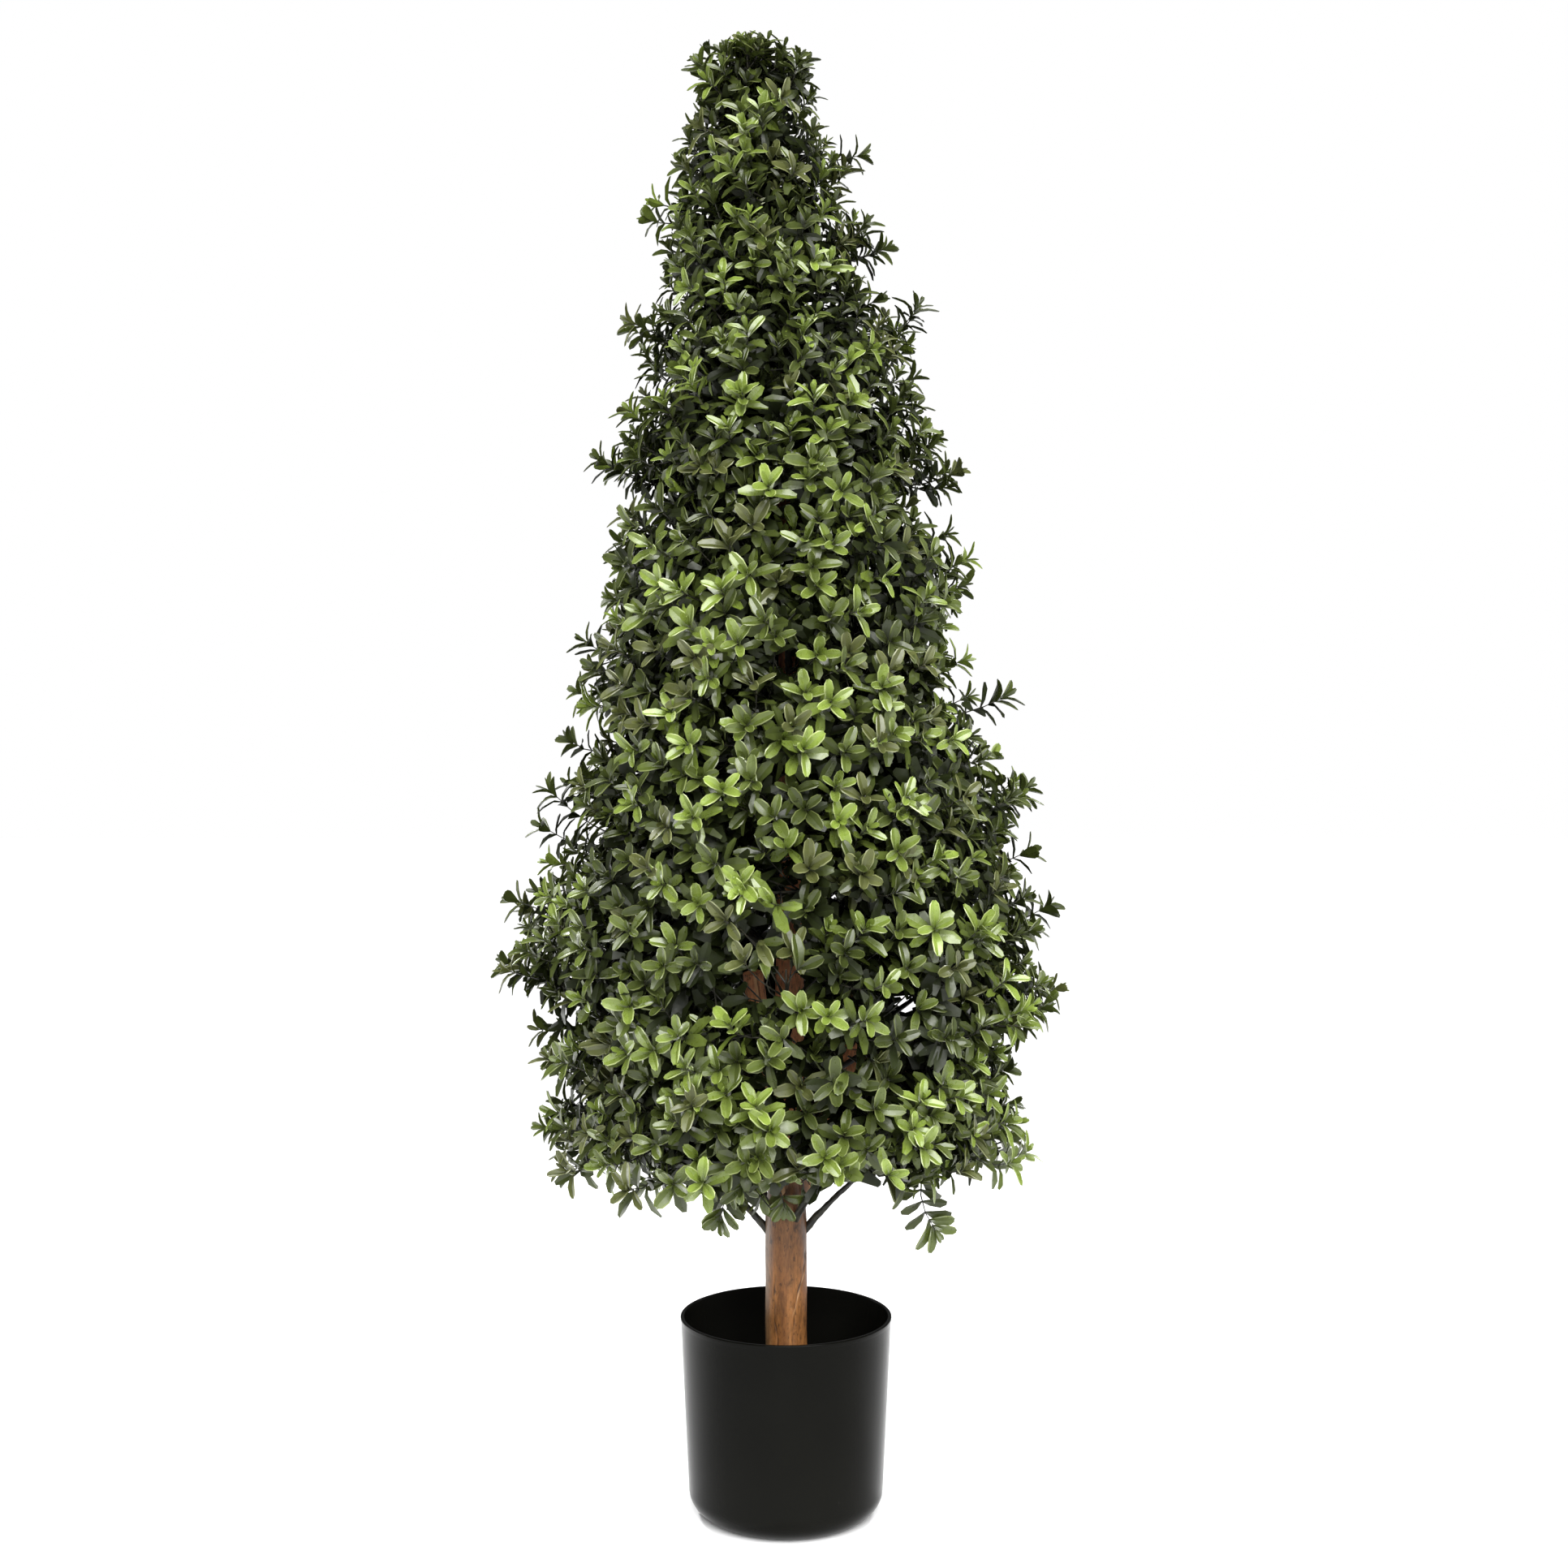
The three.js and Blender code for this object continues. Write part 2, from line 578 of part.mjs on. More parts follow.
// A corner of a core between the sides, surfaces, and inner and outer reach of its mass's space.
function sectorCorner(mass, u, v, w) {
  const reach = coreReach(mass, 0.5 + 0.5 * w);
  const low = tierSurface(mass.tier, mass.foot, reach) + CORE_MARGIN;
  const high = tierSurface(mass.tier + 1, mass.head, reach) - CORE_MARGIN;
  const azimuth = mass.azimuth + u * (mass.half - CORE_MARGIN / reach);
  return outFrom(azimuth, reach, lerp(low, high, 0.5 + 0.5 * v));
}

function listMasses() {
  const masses = [];
  TIERS.forEach(({ foot, masses: count, sprigs }, tier) => {
    const head = tier + 1 < TIERS.length ? TIERS[tier + 1].foot : TOP_FOOT;
    const half = Math.PI / count;
    for (let m = 0; m < count; m++) {
      const name = `foliage_${tier + 1}_${m + 1}`;
      masses.push({ name, tier, foot, head, azimuth: (2 * m + (tier % 2)) * half, half, sprigs });
    }
  });
  masses.push({ name: "foliage_top", tier: TIERS.length, foot: TOP_FOOT, top: true, sprigs: TOP_SPRIGS });
  masses.forEach((mass, i) => {
    mass.random = randomFrom(1000 + 37 * i);
    mass.places = sprigPlaces(mass, mass.random);
  });
  standProud(masses);
  hangSprigs(masses);
  return masses;
}

function massSolid(mass) {
  const whole = stemCurve(mass);
  const start = mass.tier === 0 ? boughShare(whole) + FIT_GAP / 2 / whole.getLength() : 0;
  const stem = stretch(whole, start, 1);
  const stemSolid = solidOf(tapered(stem, 3, STEM_RADIUS, STEM_TIP_RADIUS, 5));
  const twigs = mass.places.map((place, i) => {
    const share = lerp(FIRST_TWIG, 1, (i + 0.5) / mass.places.length);
    return sprig(mass, twigCurve(stem, place, share), Math.PI * mass.random(), place.hangs);
  });
  return fused([core(mass, mass.random), stemSolid, ...twigs]);
}

// A coated wire bough from the fork to the foot of a mass in the lowest tier.
function boughSolid(mass) {
  const whole = stemCurve(mass);
  const curve = stretch(whole, 0, boughShare(whole) - FIT_GAP / 2 / whole.getLength());
  return fused([solidOf(tapered(curve, 4, BOUGH_RADIUS, STEM_RADIUS, 6))]);
}

function material(color, roughness) {
  return new THREE.MeshStandardMaterial({ color, roughness, metalness: 0 });
}
const BLACK_PLASTIC = material(0x1c1d1c, 0.42);
const CEMENT = material(0x8d8a84, 0.9);
const WOOD = material(0x9c6a3c, 0.6);
const DARK_STEM = material(0x2b2f25, 0.65);
const GREENS = [0x4f7a35, 0x44692f, 0x5d8a3c, 0x3d5f2c].map((color) => material(color, 0.5));

const trunkRoom = solidOf(trunk(FIT_GAP));
const topiary = new THREE.Group();
function place(name, geometry, look) {
  const mesh = new THREE.Mesh(geometry, look);
  mesh.name = name;
  topiary.add(mesh);
}

place("pot", pot(), BLACK_PLASTIC);
place("ballast", cement(), CEMENT);
place("trunk", trunk(), WOOD);
LIMBS.forEach((one) => place(one.name, geometryOf(fused([sawnLimb(one)])), WOOD));
const masses = listMasses();
masses.filter(({ tier }) => tier === 0).forEach((mass, i) => {
  place(`bough_${i + 1}`, geometryOf(boughSolid(mass)), DARK_STEM);
});
masses.forEach((mass, i) => place(mass.name, geometryOf(massSolid(mass)), GREENS[i % GREENS.length]));

export default topiary;
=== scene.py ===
"""An artificial boxwood cone topiary, 1.2 m tall, in a plain round black pot. In metres, with +Z up."""

import math

import bpy
import numpy as np
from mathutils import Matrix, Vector


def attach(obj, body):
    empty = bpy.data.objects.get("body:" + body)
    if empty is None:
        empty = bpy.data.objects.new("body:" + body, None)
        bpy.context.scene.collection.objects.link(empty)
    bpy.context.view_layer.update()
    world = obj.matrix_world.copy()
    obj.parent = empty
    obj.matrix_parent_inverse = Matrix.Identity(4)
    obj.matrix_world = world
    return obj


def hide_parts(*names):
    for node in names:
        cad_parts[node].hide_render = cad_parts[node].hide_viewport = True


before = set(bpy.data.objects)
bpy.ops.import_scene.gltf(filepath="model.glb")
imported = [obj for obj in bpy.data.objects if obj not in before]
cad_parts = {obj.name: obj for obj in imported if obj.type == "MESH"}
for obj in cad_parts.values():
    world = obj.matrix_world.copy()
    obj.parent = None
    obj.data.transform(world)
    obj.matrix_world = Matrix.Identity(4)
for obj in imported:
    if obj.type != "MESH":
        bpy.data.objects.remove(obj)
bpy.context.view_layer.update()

TURN = 2 * math.pi
UP = np.array([0.0, 0.0, 1.0])
TO_VIEWER = np.array([0.0, -1.0, 0.0])

# The camera: its place, its aim below the horizon and to the left in degrees, and its lens.
CAMERA_PLACE = (0.0, -1.591, 0.620)
CAMERA_PITCH = 1.0
CAMERA_YAW = 0.06
CAMERA_LENS = 45.02
SENSOR_WIDTH = 36.0

# The pot: a thin tapered shell with a small lip and a rounded foot.
POT_HEIGHT = 0.160
POT_RIM_RADIUS = 0.086
POT_LIP = 0.0006
POT_LIP_DEPTH = 0.0045
POT_FOOT_RADIUS = 0.079
POT_CORNER = 0.020
POT_WALL = 0.0024
POT_FLOOR = 0.003
POT_SEGMENTS = 144

# The cement in the pot, round the trunk's foot.
CEMENT_TOP = 0.078
CEMENT_EDGE = 0.003
CEMENT_LUMPS = 14
CEMENT_RELIEF = 0.00028
CEMENT_SEGMENTS = 96
SOCKET_FLOOR = 0.012
FIT_GAP = 0.0003

# The trunk and its two sawn limbs.
POLE_RADIUS = 0.0172
FORK_HEIGHT = 0.250
FORK_SOFTNESS = 0.028
LEADER_RADIUS = 0.014
LEADER_TIP_RADIUS = 0.0045
TRUNK_TOP = 1.080
DRIFT_X = (0.016, -0.003, -0.037)
DRIFT_Y = (0.030, -0.030, 0.0)
LIMBS = (
    {"name": "limb_left", "azimuth": 240, "reach": 0.052, "top": 0.444, "radius": 0.009},
    {"name": "limb_right", "azimuth": 0, "reach": 0.060, "top": 0.385, "radius": 0.0105},
)
LIMB_TAPER = 0.94
LIMB_FOOT_REACH = 0.004
LIMB_FOOT_RISE = 0.002
LIMB_BOW = 0.005

# The shallow swells of the wood and the wire: their size, how many stand round it, and the length of one
# along it. They are set inwards, so that they stay inside the solid.
TRUNK_SWELLS = (0.00016, (1, 2, 3, 5), 0.045)
TRUNK_INWARDS = 0.0003
LIMB_SWELLS = (0.00018, (2, 3, 5), 0.12)
LIMB_INWARDS = 0.0004
WIRE_SWELLS = (0.00022, (1, 2, 3, 5), 0.04)
# In the socket the trunk fits closely, up to a little above the cement.
SOCKET_INWARDS = 0.0001
SOCKET_MARGIN = 0.004

# Cracks in the pole: azimuths in degrees at heights, with a width and a strength.
CRACKS = (
    (((0.100, 246), (0.145, 245), (0.160, 236), (0.178, 235), (0.200, 241)), 0.0007, 0.8),
    (((0.170, 296), (0.180, 303), (0.192, 322), (0.211, 342)), 0.0013, 1.0),
    (((0.105, 287), (0.150, 289), (0.172, 296), (0.184, 305)), 0.0006, 0.5),
    (((0.090, 20), (0.150, 28), (0.205, 14)), 0.0007, 0.8),
    (((0.120, 96), (0.170, 88), (0.225, 101)), 0.0008, 0.9),
    (((0.095, 158), (0.140, 171), (0.190, 166)), 0.0006, 0.7),
    (((0.188, 262), (0.200, 259), (0.208, 263)), 0.0004, 0.35),
)
CRACK_DEPTH = 0.0010
# Pale scratches on the pole: azimuths in degrees at heights.
SCRATCHES = (
    ((0.158, 284), (0.170, 296), (0.184, 312), (0.204, 339)),
    ((0.160, 296), (0.167, 288), (0.174, 277)),
    ((0.150, 250), (0.156, 262), (0.160, 280)),
    ((0.130, 60), (0.160, 68), (0.190, 71)),
)
SCRATCH_WIDTH = 0.0006
# How strongly cracks darken the wood, as painted shade in them, and scratches pale it.
CRACK_TINT = 0.9
SCRATCH_TINT = 0.75
# How far the cracks and scratches waver, in radians.
WAVER = 0.02
# The dark knot: its height and its azimuth in degrees, its size along and up the trunk, and its depth.
KNOT = (0.209, 340)
KNOT_SIZE = (0.0018, 0.005)
KNOT_DEPTH = 0.0014
TRUNK_SIDES = 190
LIMB_SIDES = 56
# The pole shows up to this height. Above it, inside the crown, the wood turns redder, and lighter as painted
# light against the crown's shade.
POLE_SHOWS = 0.262
# A sawn limb's pale strip and the split beside it: turns round its axis in radians, and sizes.
STRIP_TURN = 3.32
STRIP_HALF = 0.17
SPLIT_TURN = 3.58
SPLIT_WIDTH = 0.0007
SPLIT_DEPTH = 0.0011

# The crown's outline, and its lean to the left.
CROWN_LOW = 0.296
CROWN_LOW_RADIUS = 0.198
WIDEST_HEIGHT = 0.450
WIDEST_RADIUS = 0.221
SHOULDER_HEIGHT = 1.165
SHOULDER_RADIUS = 0.050
OUTLINE_SWELL = 0.008
CROWN_TOP = 1.200
LEAN_START = 0.750
LEAN = 0.072

# The tiers of masses: foot on the outline, number of masses, and main sprigs on each mass.
TIERS = (
    (CROWN_LOW, 6, 5),
    (0.392, 6, 5),
    (0.504, 5, 5),
    (0.612, 5, 4),
    (0.716, 4, 4),
    (0.816, 4, 4),
    (0.912, 3, 4),
    (1.004, 3, 3),
)
# The mass at the top: its foot, its sprigs from the lowest to the highest, and their lifts in degrees.
TOP_FOOT = 1.092
TOP_SPRIGS = 9
TOP_DROP = 0.002
TOP_FIRST_SPRIG = 0.026
TOP_LIFTS = (10, 84)
# The surfaces between tiers fall outwards, the lowest one little, and from the fourth up in full.
TIER_SLOPE = 0.6
LOWEST_SLOPE = 0.12
FULL_SLOPE_TIER = 3
DROOP = 0.012
# The middle of a mass: its depth under the crown's surface, and its thickness at most.
CORE_DEPTH = 0.031
CORE_THICKNESS = 0.040
CORE_SHARE = 0.55
# The main sprigs of a mass: their levels in the tier, how near its sides they go, what chance adds to their
# places, and their lifts in degrees.
SPRIG_LEVEL_HIGH = 0.76
SPRIG_LEVEL_LOW = 0.25
SPRIG_LEVEL_LOWEST_TIER = 0.38
SPRIG_SIDES = 0.94
SPRIG_CHANCE = 0.1
SPRIG_REACH_CHANCE = 0.009
SPRIG_LIFTS = (8, 24)

# Boughs, stems and twigs: coated wire that gets finer outwards. A bough's radii stand at shares of its
# length. A front bough starts a little higher, where leaves hide its foot.
BOUGH_SHARES = (0, 0.22, 0.5, 1)
BOUGH_RADII = (0.0036, 0.0033, 0.0022, 0.0013)
BOUGH_END = 0.086
BOUGH_DROP = 0.042
BOUGH_BEND = 0.3
BOUGH_BEND_RISE = 0.032
FRONT_BOUGH_RISE = 0.014
STEM_BEND = 0.42
STEM_BEND_RISE = 0.008
TOP_STEM_BEND = 0.025
TOP_STEM_LENGTH = 0.062
STEM_SINK = 0.4
FIRST_TWIG = 0.8
STEM_RADIUS = 0.0029
STEM_TIP_RADIUS = 0.0012
TWIG_RADIUS = 0.0015
SPRIG_RADIUS = 0.0009
SPRIG_TIP_RADIUS = 0.0004
WIRE_SIDES = 14

# Sprigs that stand proud of the outline: azimuth in degrees, height and extra reach. Each keeps some degrees
# inside the edges of its mass.
PROUD_INSIDE = 12
PROUD_SPRIGS = (
    (180, 0.449, 0.017),
    (180, 0.504, 0.013),
    (180, 0.632, 0.004),
    (180, 0.858, 0.021),
    (180, 0.965, 0.017),
    (180, 1.063, 0.020),
    (0, 0.428, 0.014),
    (0, 0.499, 0.011),
    (0, 0.669, 0.012),
    (0, 0.852, 0.026),
    (0, 0.949, 0.014),
    (0, 1.031, 0.026),
    (270, 0.470, 0.010),
    (90, 0.560, 0.012),
    (90, 0.880, 0.014),
)
# Sprigs that hang under the crown: azimuth in degrees, reach, height, and lift in degrees.
HANGING_SPRIGS = (
    (-20, 0.134, 0.230, -50),
    (228, 0.084, 0.240, -62),
    (55, 0.130, 0.250, -45),
    (125, 0.120, 0.256, -50),
    (168, 0.124, 0.276, -40),
    (284, 0.128, 0.280, -45),
)
# How far the crown's surface is out or in at the left and at the right, by height.
OUTLINE = (
    (0.296, 0.001, 0.009),
    (0.330, -0.004, -0.012),
    (0.360, -0.036, -0.026),
    (0.390, 0.002, -0.022),
    (0.420, -0.072, 0.004),
    (0.450, 0.005, -0.010),
    (0.480, 0.008, -0.005),
    (0.510, 0.000, -0.010),
    (0.540, -0.016, -0.020),
    (0.570, -0.048, -0.008),
    (0.600, 0.019, 0.014),
    (0.630, -0.058, -0.020),
    (0.660, 0.005, -0.043),
    (0.690, 0.008, -0.027),
    (0.720, -0.013, -0.033),
    (0.750, -0.004, -0.012),
    (0.780, 0.000, 0.012),
    (0.810, -0.003, -0.020),
    (0.840, -0.058, -0.029),
    (0.870, 0.036, 0.018),
    (0.900, 0.006, 0.002),
    (0.930, -0.017, 0.012),
    (0.960, 0.010, -0.004),
    (0.990, -0.016, 0.035),
    (1.020, -0.003, -0.026),
    (1.050, -0.010, 0.015),
    (1.080, 0.002, -0.013),
    (1.110, 0.002, 0.011),
    (1.140, -0.014, -0.010),
    (1.170, -0.021, 0.005),
    (1.182, 0.000, 0.013),
    (1.192, 0.008, 0.017),
)
# The same at the front and the back, as two waves: rate round the crown, rate up it, and size. On the whole
# the surface is in by a little there.
OUTLINE_WAVES = ((4, 33, 0.006), (7, -52, 0.006))
WAVES_INWARDS = 0.003
# How fast the left and right outlines fade towards the front: they end 66 degrees from the side.
SIDE_FADE = 1.7
# The share of a notch in the outline by which the main sprigs there are shortened.
NOTCH_SHARE = 0.6
# Long sprigs beyond the surface: azimuth in degrees, height, extra reach and lift in degrees.
LONG_SPRIGS = (
    (180, 0.452, 0.018, 22),
    (176, 0.462, 0.004, 30),
    (180, 0.396, 0.000, 16),
    (180, 0.316, 0.008, 16),
    (180, 0.504, 0.021, 30),
    (175, 0.492, 0.013, 18),
    (180, 0.563, 0.011, 28),
    (180, 0.636, 0.002, 42),
    (180, 0.672, 0.005, 25),
    (180, 0.714, 0.008, 30),
    (180, 0.862, 0.022, 36),
    (176, 0.856, 0.010, 24),
    (180, 0.965, 0.018, 24),
    (180, 1.055, 0.019, 30),
    (0, 0.428, 0.015, 12),
    (5, 0.418, 0.008, -4),
    (0, 0.499, 0.012, 30),
    (0, 0.543, 0.006, 26),
    (0, 0.669, 0.012, 30),
    (0, 0.852, 0.024, 30),
    (4, 0.838, 0.014, 18),
    (0, 0.880, 0.014, 40),
    (0, 0.949, 0.012, 36),
    (0, 1.031, 0.025, 28),
    (0, 1.104, 0.031, 20),
    (180, 1.183, 0.002, 66),
    (205, 1.180, 0.001, 64),
    (155, 1.181, 0.001, 66),
    (0, 1.186, 0.014, 60),
    (332, 1.182, 0.009, 64),
    (25, 1.182, 0.009, 66),
    (246, 1.184, 0.002, 74),
    (286, 1.187, 0.000, 78),
    (90, 1.185, 0.002, 74),
    (180, 1.197, -0.010, 80),
    (0, 1.196, -0.004, 76),
    (262, 0.478, 0.010, 30),
    (80, 0.566, 0.014, 24),
    (100, 0.890, 0.016, 30),
    (62, 0.700, 0.012, 22),
    (125, 0.440, 0.014, 18),
)

# Short sprigs on the boughs under the crown: azimuth in degrees, reach, height and lift in degrees.
LOW_SPRIGS = (
    (200, 0.054, 0.258, -22),
    (226, 0.068, 0.262, -14),
    (304, 0.036, 0.258, -38),
    (250, 0.070, 0.266, -22),
    (238, 0.096, 0.276, -16),
    (262, 0.098, 0.274, -20),
    (268, 0.037, 0.243, -76),
    (291, 0.066, 0.268, -20),
    (282, 0.100, 0.282, -12),
    (62, 0.080, 0.272, -16),
    (118, 0.078, 0.270, -18),
    (188, 0.090, 0.280, -14),
)

# Sprigs deep inside, with the darkest leaves as painted shade, where the view would go right through:
# azimuth in degrees, reach and height.
DEEP_SPRIGS = (
    (121, 0.118, 0.450),
    (112, 0.100, 0.462),
    (131, 0.122, 0.440),
    (140, 0.090, 0.468),
    (104, 0.112, 0.436),
    (113, 0.109, 0.428),
    (110, 0.130, 0.424),
    (117, 0.095, 0.432),
)

# The leaves: their length, and how far they reach beyond the tip of their sprig.
LEAF_LENGTH = 0.0198
TIP_RISE = 0.013
# The spread of the leaf pairs in degrees, their size, and whether they take the outer, middle or inner tint
# of their spray, from the tip of a sprig inwards. The inner tints are darker: partly older leaves, partly
# painted shade.
PAIR_SPREADS = (14, 30, 42, 52, 58, 62)
PAIR_SIZES = (0.55, 0.88, 1.0, 1.0, 0.96, 0.90)
PAIR_AGE_AND_SHADE = (0, 0, 0, 1, 1, 2)
# The distances between leaf pairs, from the tip inwards, and how much longer they are on a flat sprig.
PAIR_GAPS = (0.0028, 0.0040, 0.0056, 0.0066)
FLAT_GAP = 1.3
# The length at a twig's foot that never carries leaves.
BARE_FOOT = 0.004
# How far chance moves a leaf: its spread in degrees, and its turn, its tilt and its pair's turn in radians.
SPREAD_SWING = 24
TURN_SWING = 0.4
TILT_SWING = 0.6
ROLL_SWING = 0.5
# The turn from one pair to the next, in radians.
CROSSING = 1.32
# The limits of chance for a leaf's length, width and bend, the bend of the leaves at the tip, and the limits
# for what stays near 1.
LEAF_LENGTHS = (0.86, 1.12)
LEAF_WIDTHS = (0.90, 1.16)
LEAF_BENDS = (0.25, 0.85)
BUD_BEND = 0.12
NEAR_ONE = (0.9, 1.1)
# How strongly the leaves of a flat sprig are drawn to its facing.
FACING_PULL = 3.0
# How finely the leaves are modelled, from the tip inwards, near the crown's surface and inside it.
OUTER_DETAIL = ("plain", "fine", "fine", "plain", "plain", "simple")
INNER_DETAIL = ("simple",)

# The sprigs over the crown's surface and inside it: the rows and columns, and the depths of each layer.
OUTER_GRID = (0.0255, 0.0285)
OUTER_DEPTHS = (-0.004, 0.009)
DEEPER_SHARE = 0.36
DEEPER_DEPTHS = (0.014, 0.038)
INNER_GRID = (0.033, 0.036)
INNER_DEPTHS = (0.036, 0.066)
INNER_BELOW_TOP = 0.050
# The least reach of a sprig at the surface and inside, and how far below the top a row ends.
LEAST_REACH = 0.01
LEAST_INNER_REACH = 0.012
BELOW_TOP = 0.006
# How far chance moves a row, as a share of its height, and a sprig's end, in radians.
ROW_SWING = 0.7
OUTER_SWING = 0.7
CAP_SWING = 0.8
INNER_SWING = 1.6
# The limits of the sprigs' lifts in degrees.
SIDE_LIFTS = (4, 48)
STEEP_LIFTS = (40, 82)
CAP_LIFTS = (86, 48)
UNDER_LIFTS = (-24, 16)
INNER_LIFTS = (-20, 40)
DEEP_LIFT = 20
# A low sprig with less lift than this hangs, flat to the viewer.
HANGING_LIFT = -60
# How much darker the sprays of the sprigs are, as painted shade: a little under the surface, at the top,
# beyond the surface and on the underside.
DEEPER_SHADE = 0.42
TOP_SHADE = 0.10
LONG_SHADE = 0.2
UNDER_SHADE = 0.35
# The sprigs on the underside of each lowest mass: how many, their reach, their rise and their even spread.
UNDER_SPRIGS = 13
UNDER_REACH = (0.055, 0.172)
UNDER_RISE = 0.014
GOLDEN_SHARE = 0.618
# The sprigs on the rounded top: how many, the share of the shoulder that they cover, how flat the top is,
# and how far chance moves their height, azimuth and lift.
CAP_SPRIGS = 12
CAP_SHARE = 0.96
CAP_FLATNESS = 0.3
CAP_DROP = 0.012
CAP_TURN = 0.6
CAP_LIFT_SWING = 16
# The heights between which the sprigs turn to those of the top: finer, steeper and narrower. The rows get
# finer a little higher up.
TOP_TURN = (0.70, 1.02)
FINE_TURN = (0.80, 1.00)
FINE_SHARE = 0.74
# The turn from one sprig to the next in a spiral, in radians.
SPIRAL = 2.4
# How much of a twig's end carries leaves, by the kind of sprig.
LEAFY_LENGTH = 0.046
LONG_LEAFY = 0.058
UNDER_LEAFY = 0.040
LOW_LEAFY = 0.036
# How much larger the leaves inside and those of hanging sprigs are.
INNER_SIZE = 1.30
HANGING_SIZE = 1.12
# Where finer twigs start along the limb that carries them, as shares of its length.
OUTER_FROM = (0.25, 0.65)
INNER_FROM = (0.55, 1.0)
LOW_FROM = (0.36, 0.56)
UNDER_FROM = (0.45, 0.95)
# How many ways are tried for a twig that crosses a line of sight.
TRIES = 9

# Lines of sight from the camera that stay free of leaves: each as a point that it passes, its radius, and
# whether it goes right through to the sky or ends at that point.
CLEARINGS = (
    ((0.095, 0.0, 0.413), 0.011, True),
    ((0.034, 0.0, 0.250), 0.013, True),
    ((0.055, 0.0, 0.257), 0.013, True),
    ((0.076, 0.0, 0.262), 0.010, True),
    ((-0.026, -0.044, 0.436), 0.015, False),
    ((0.0020, 0.0, 0.434), 0.014, False),
    ((0.003, 0.0, 0.511), 0.007, False),
    ((0.0013, 0.0, 0.691), 0.010, False),
    ((-0.0057, -0.060, 0.2616), 0.013, False),
    ((0.014, -0.015, 0.268), 0.008, False),
    ((-0.013, -0.015, 0.262), 0.006, False),
    ((0.0533, 0.0, 0.364), 0.009, False),
    ((0.006, 0.0, 0.386), 0.007, False),
)

# Ways that stay free for the light on the left limb: each from a point, in a direction, with a radius.
LIGHT_WAYS = (
    ((-0.026, -0.044, 0.436), (0.02, -1.0, 0.38), 0.014),
    ((-0.024, -0.044, 0.438), (0.12, -1.0, 0.72), 0.013),
)

# How far lines of sight and ways of the light go when nothing ends them.
FAR = 9.0
# The leaves are darker at the sides of the view, as painted shade where the front light falls off, and
# narrower there and towards the top.
SIDE_SHADE = 0.36
SIDE_SLIMNESS = 0.15
TOP_SLIMNESS = 0.10
# The sprays: the share of the sprigs, and the tints of their outer, middle and inner leaves, darker further
# in:
# partly older leaves, partly painted shade.
SPRAYS = (
    (0.30, ("fresh", "leaf", "moss")),
    (0.26, ("leaf", "mid", "moss")),
    (0.18, ("mid", "moss", "deep")),
    (0.14, ("olive", "moss", "deep")),
    (0.12, ("moss", "deep", "deep")),
)
# The inner sprigs take the darkest tint alone, as painted shade inside the crown.
INNER_SPRAY = ("deep", "deep", "deep")
LOW_SPRAY = ("mid", "olive", "moss")
HANGING_SPRAY = ("mid", "moss", "moss")
# The tints: the blade's colour, its paler rim's, the roughness, and how strongly it shines. The rim is
# partly the moulding's pale edge, partly a painted highlight along the edge.
TINTS = {
    "fresh": ((122, 141, 58), (158, 171, 107), 0.28, 0.75),
    "leaf": ((103, 119, 47), (139, 152, 92), 0.28, 0.75),
    "mid": ((78, 90, 35), (113, 123, 70), 0.30, 0.65),
    "moss": ((58, 67, 26), (89, 97, 52), 0.32, 0.50),
    "olive": ((78, 83, 42), (111, 115, 74), 0.32, 0.58),
    "deep": ((31, 37, 14), (51, 57, 29), 0.38, 0.3),
}
# The most triangles in one piece of leaves.
LARGEST_PIECE = 190000

MASK = 0xFFFFFFFF


def random_from(seed):
    """A small repeatable random number generator, from 0 to 1: the solids' own."""
    state = seed & MASK

    def draw():
        nonlocal state
        state = (state + 0x6D2B79F5) & MASK
        t = ((state ^ (state >> 15)) * (1 | state)) & MASK
        t = ((t + (((t ^ (t >> 7)) * (61 | t)) & MASK)) & MASK) ^ t
        return (t ^ (t >> 14)) / 4294967296

    return draw


def vec(x, y, z):
    return np.array([x, y, z], float)


def unit(v):
    return v / math.sqrt(v @ v)


def distance(a, b):
    return math.sqrt((a - b) @ (a - b))


def lerp(a, b, t):
    return a + (b - a) * t


def between(limits, random):
    """A chance value between two limits."""
    return lerp(limits[0], limits[1], random())


def swing(width, random):
    """A chance value round 0, over a width."""
    return width * (random() - 0.5)


def at_pair(values, pair):
    """The value for a leaf pair, counted from the tip. The last value is for all pairs further in."""
    return values[min(pair, len(values) - 1)]


def clamp(t, low, high):
    return max(low, min(high, t))


def smooth(t, low, high):
    """0 below low, 1 above high, and an even rise between them."""
    share = np.clip((t - low) / (high - low), 0, 1)
    return share * share * (3 - 2 * share)


def turn_from(start, end):
    """The signed angle from one azimuth to another."""
    return math.atan2(math.sin(end - start), math.cos(end - start))


def direction(azimuth, lift):
    """The unit direction of an azimuth and a lift above the horizon, in radians."""
    return vec(math.cos(azimuth) * math.cos(lift), math.sin(azimuth) * math.cos(lift), math.sin(lift))


# The crown's rule, as in the solids.


def trunk_middle(z):
    """The middle of the trunk at a height. It wanders and leans above the fork."""
    t = clamp((z - FORK_HEIGHT) / (TRUNK_TOP - FORK_HEIGHT), 0, 1)
    x, y = (a * t + b * t * t + c * t * t * t for a, b, c in (DRIFT_X, DRIFT_Y))
    return vec(x, y, z)


def trunk_radius(z):
    """The trunk's radius at a height: the pole's up to the fork, then the tapering leader's."""
    share = clamp((z - FORK_HEIGHT) / (TRUNK_TOP - FORK_HEIGHT), 0, 1)
    leader = lerp(LEADER_RADIUS, LEADER_TIP_RADIUS, share)
    forked = smooth(z, FORK_HEIGHT - FORK_SOFTNESS / 2, FORK_HEIGHT + FORK_SOFTNESS)
    return lerp(POLE_RADIUS, leader, forked)


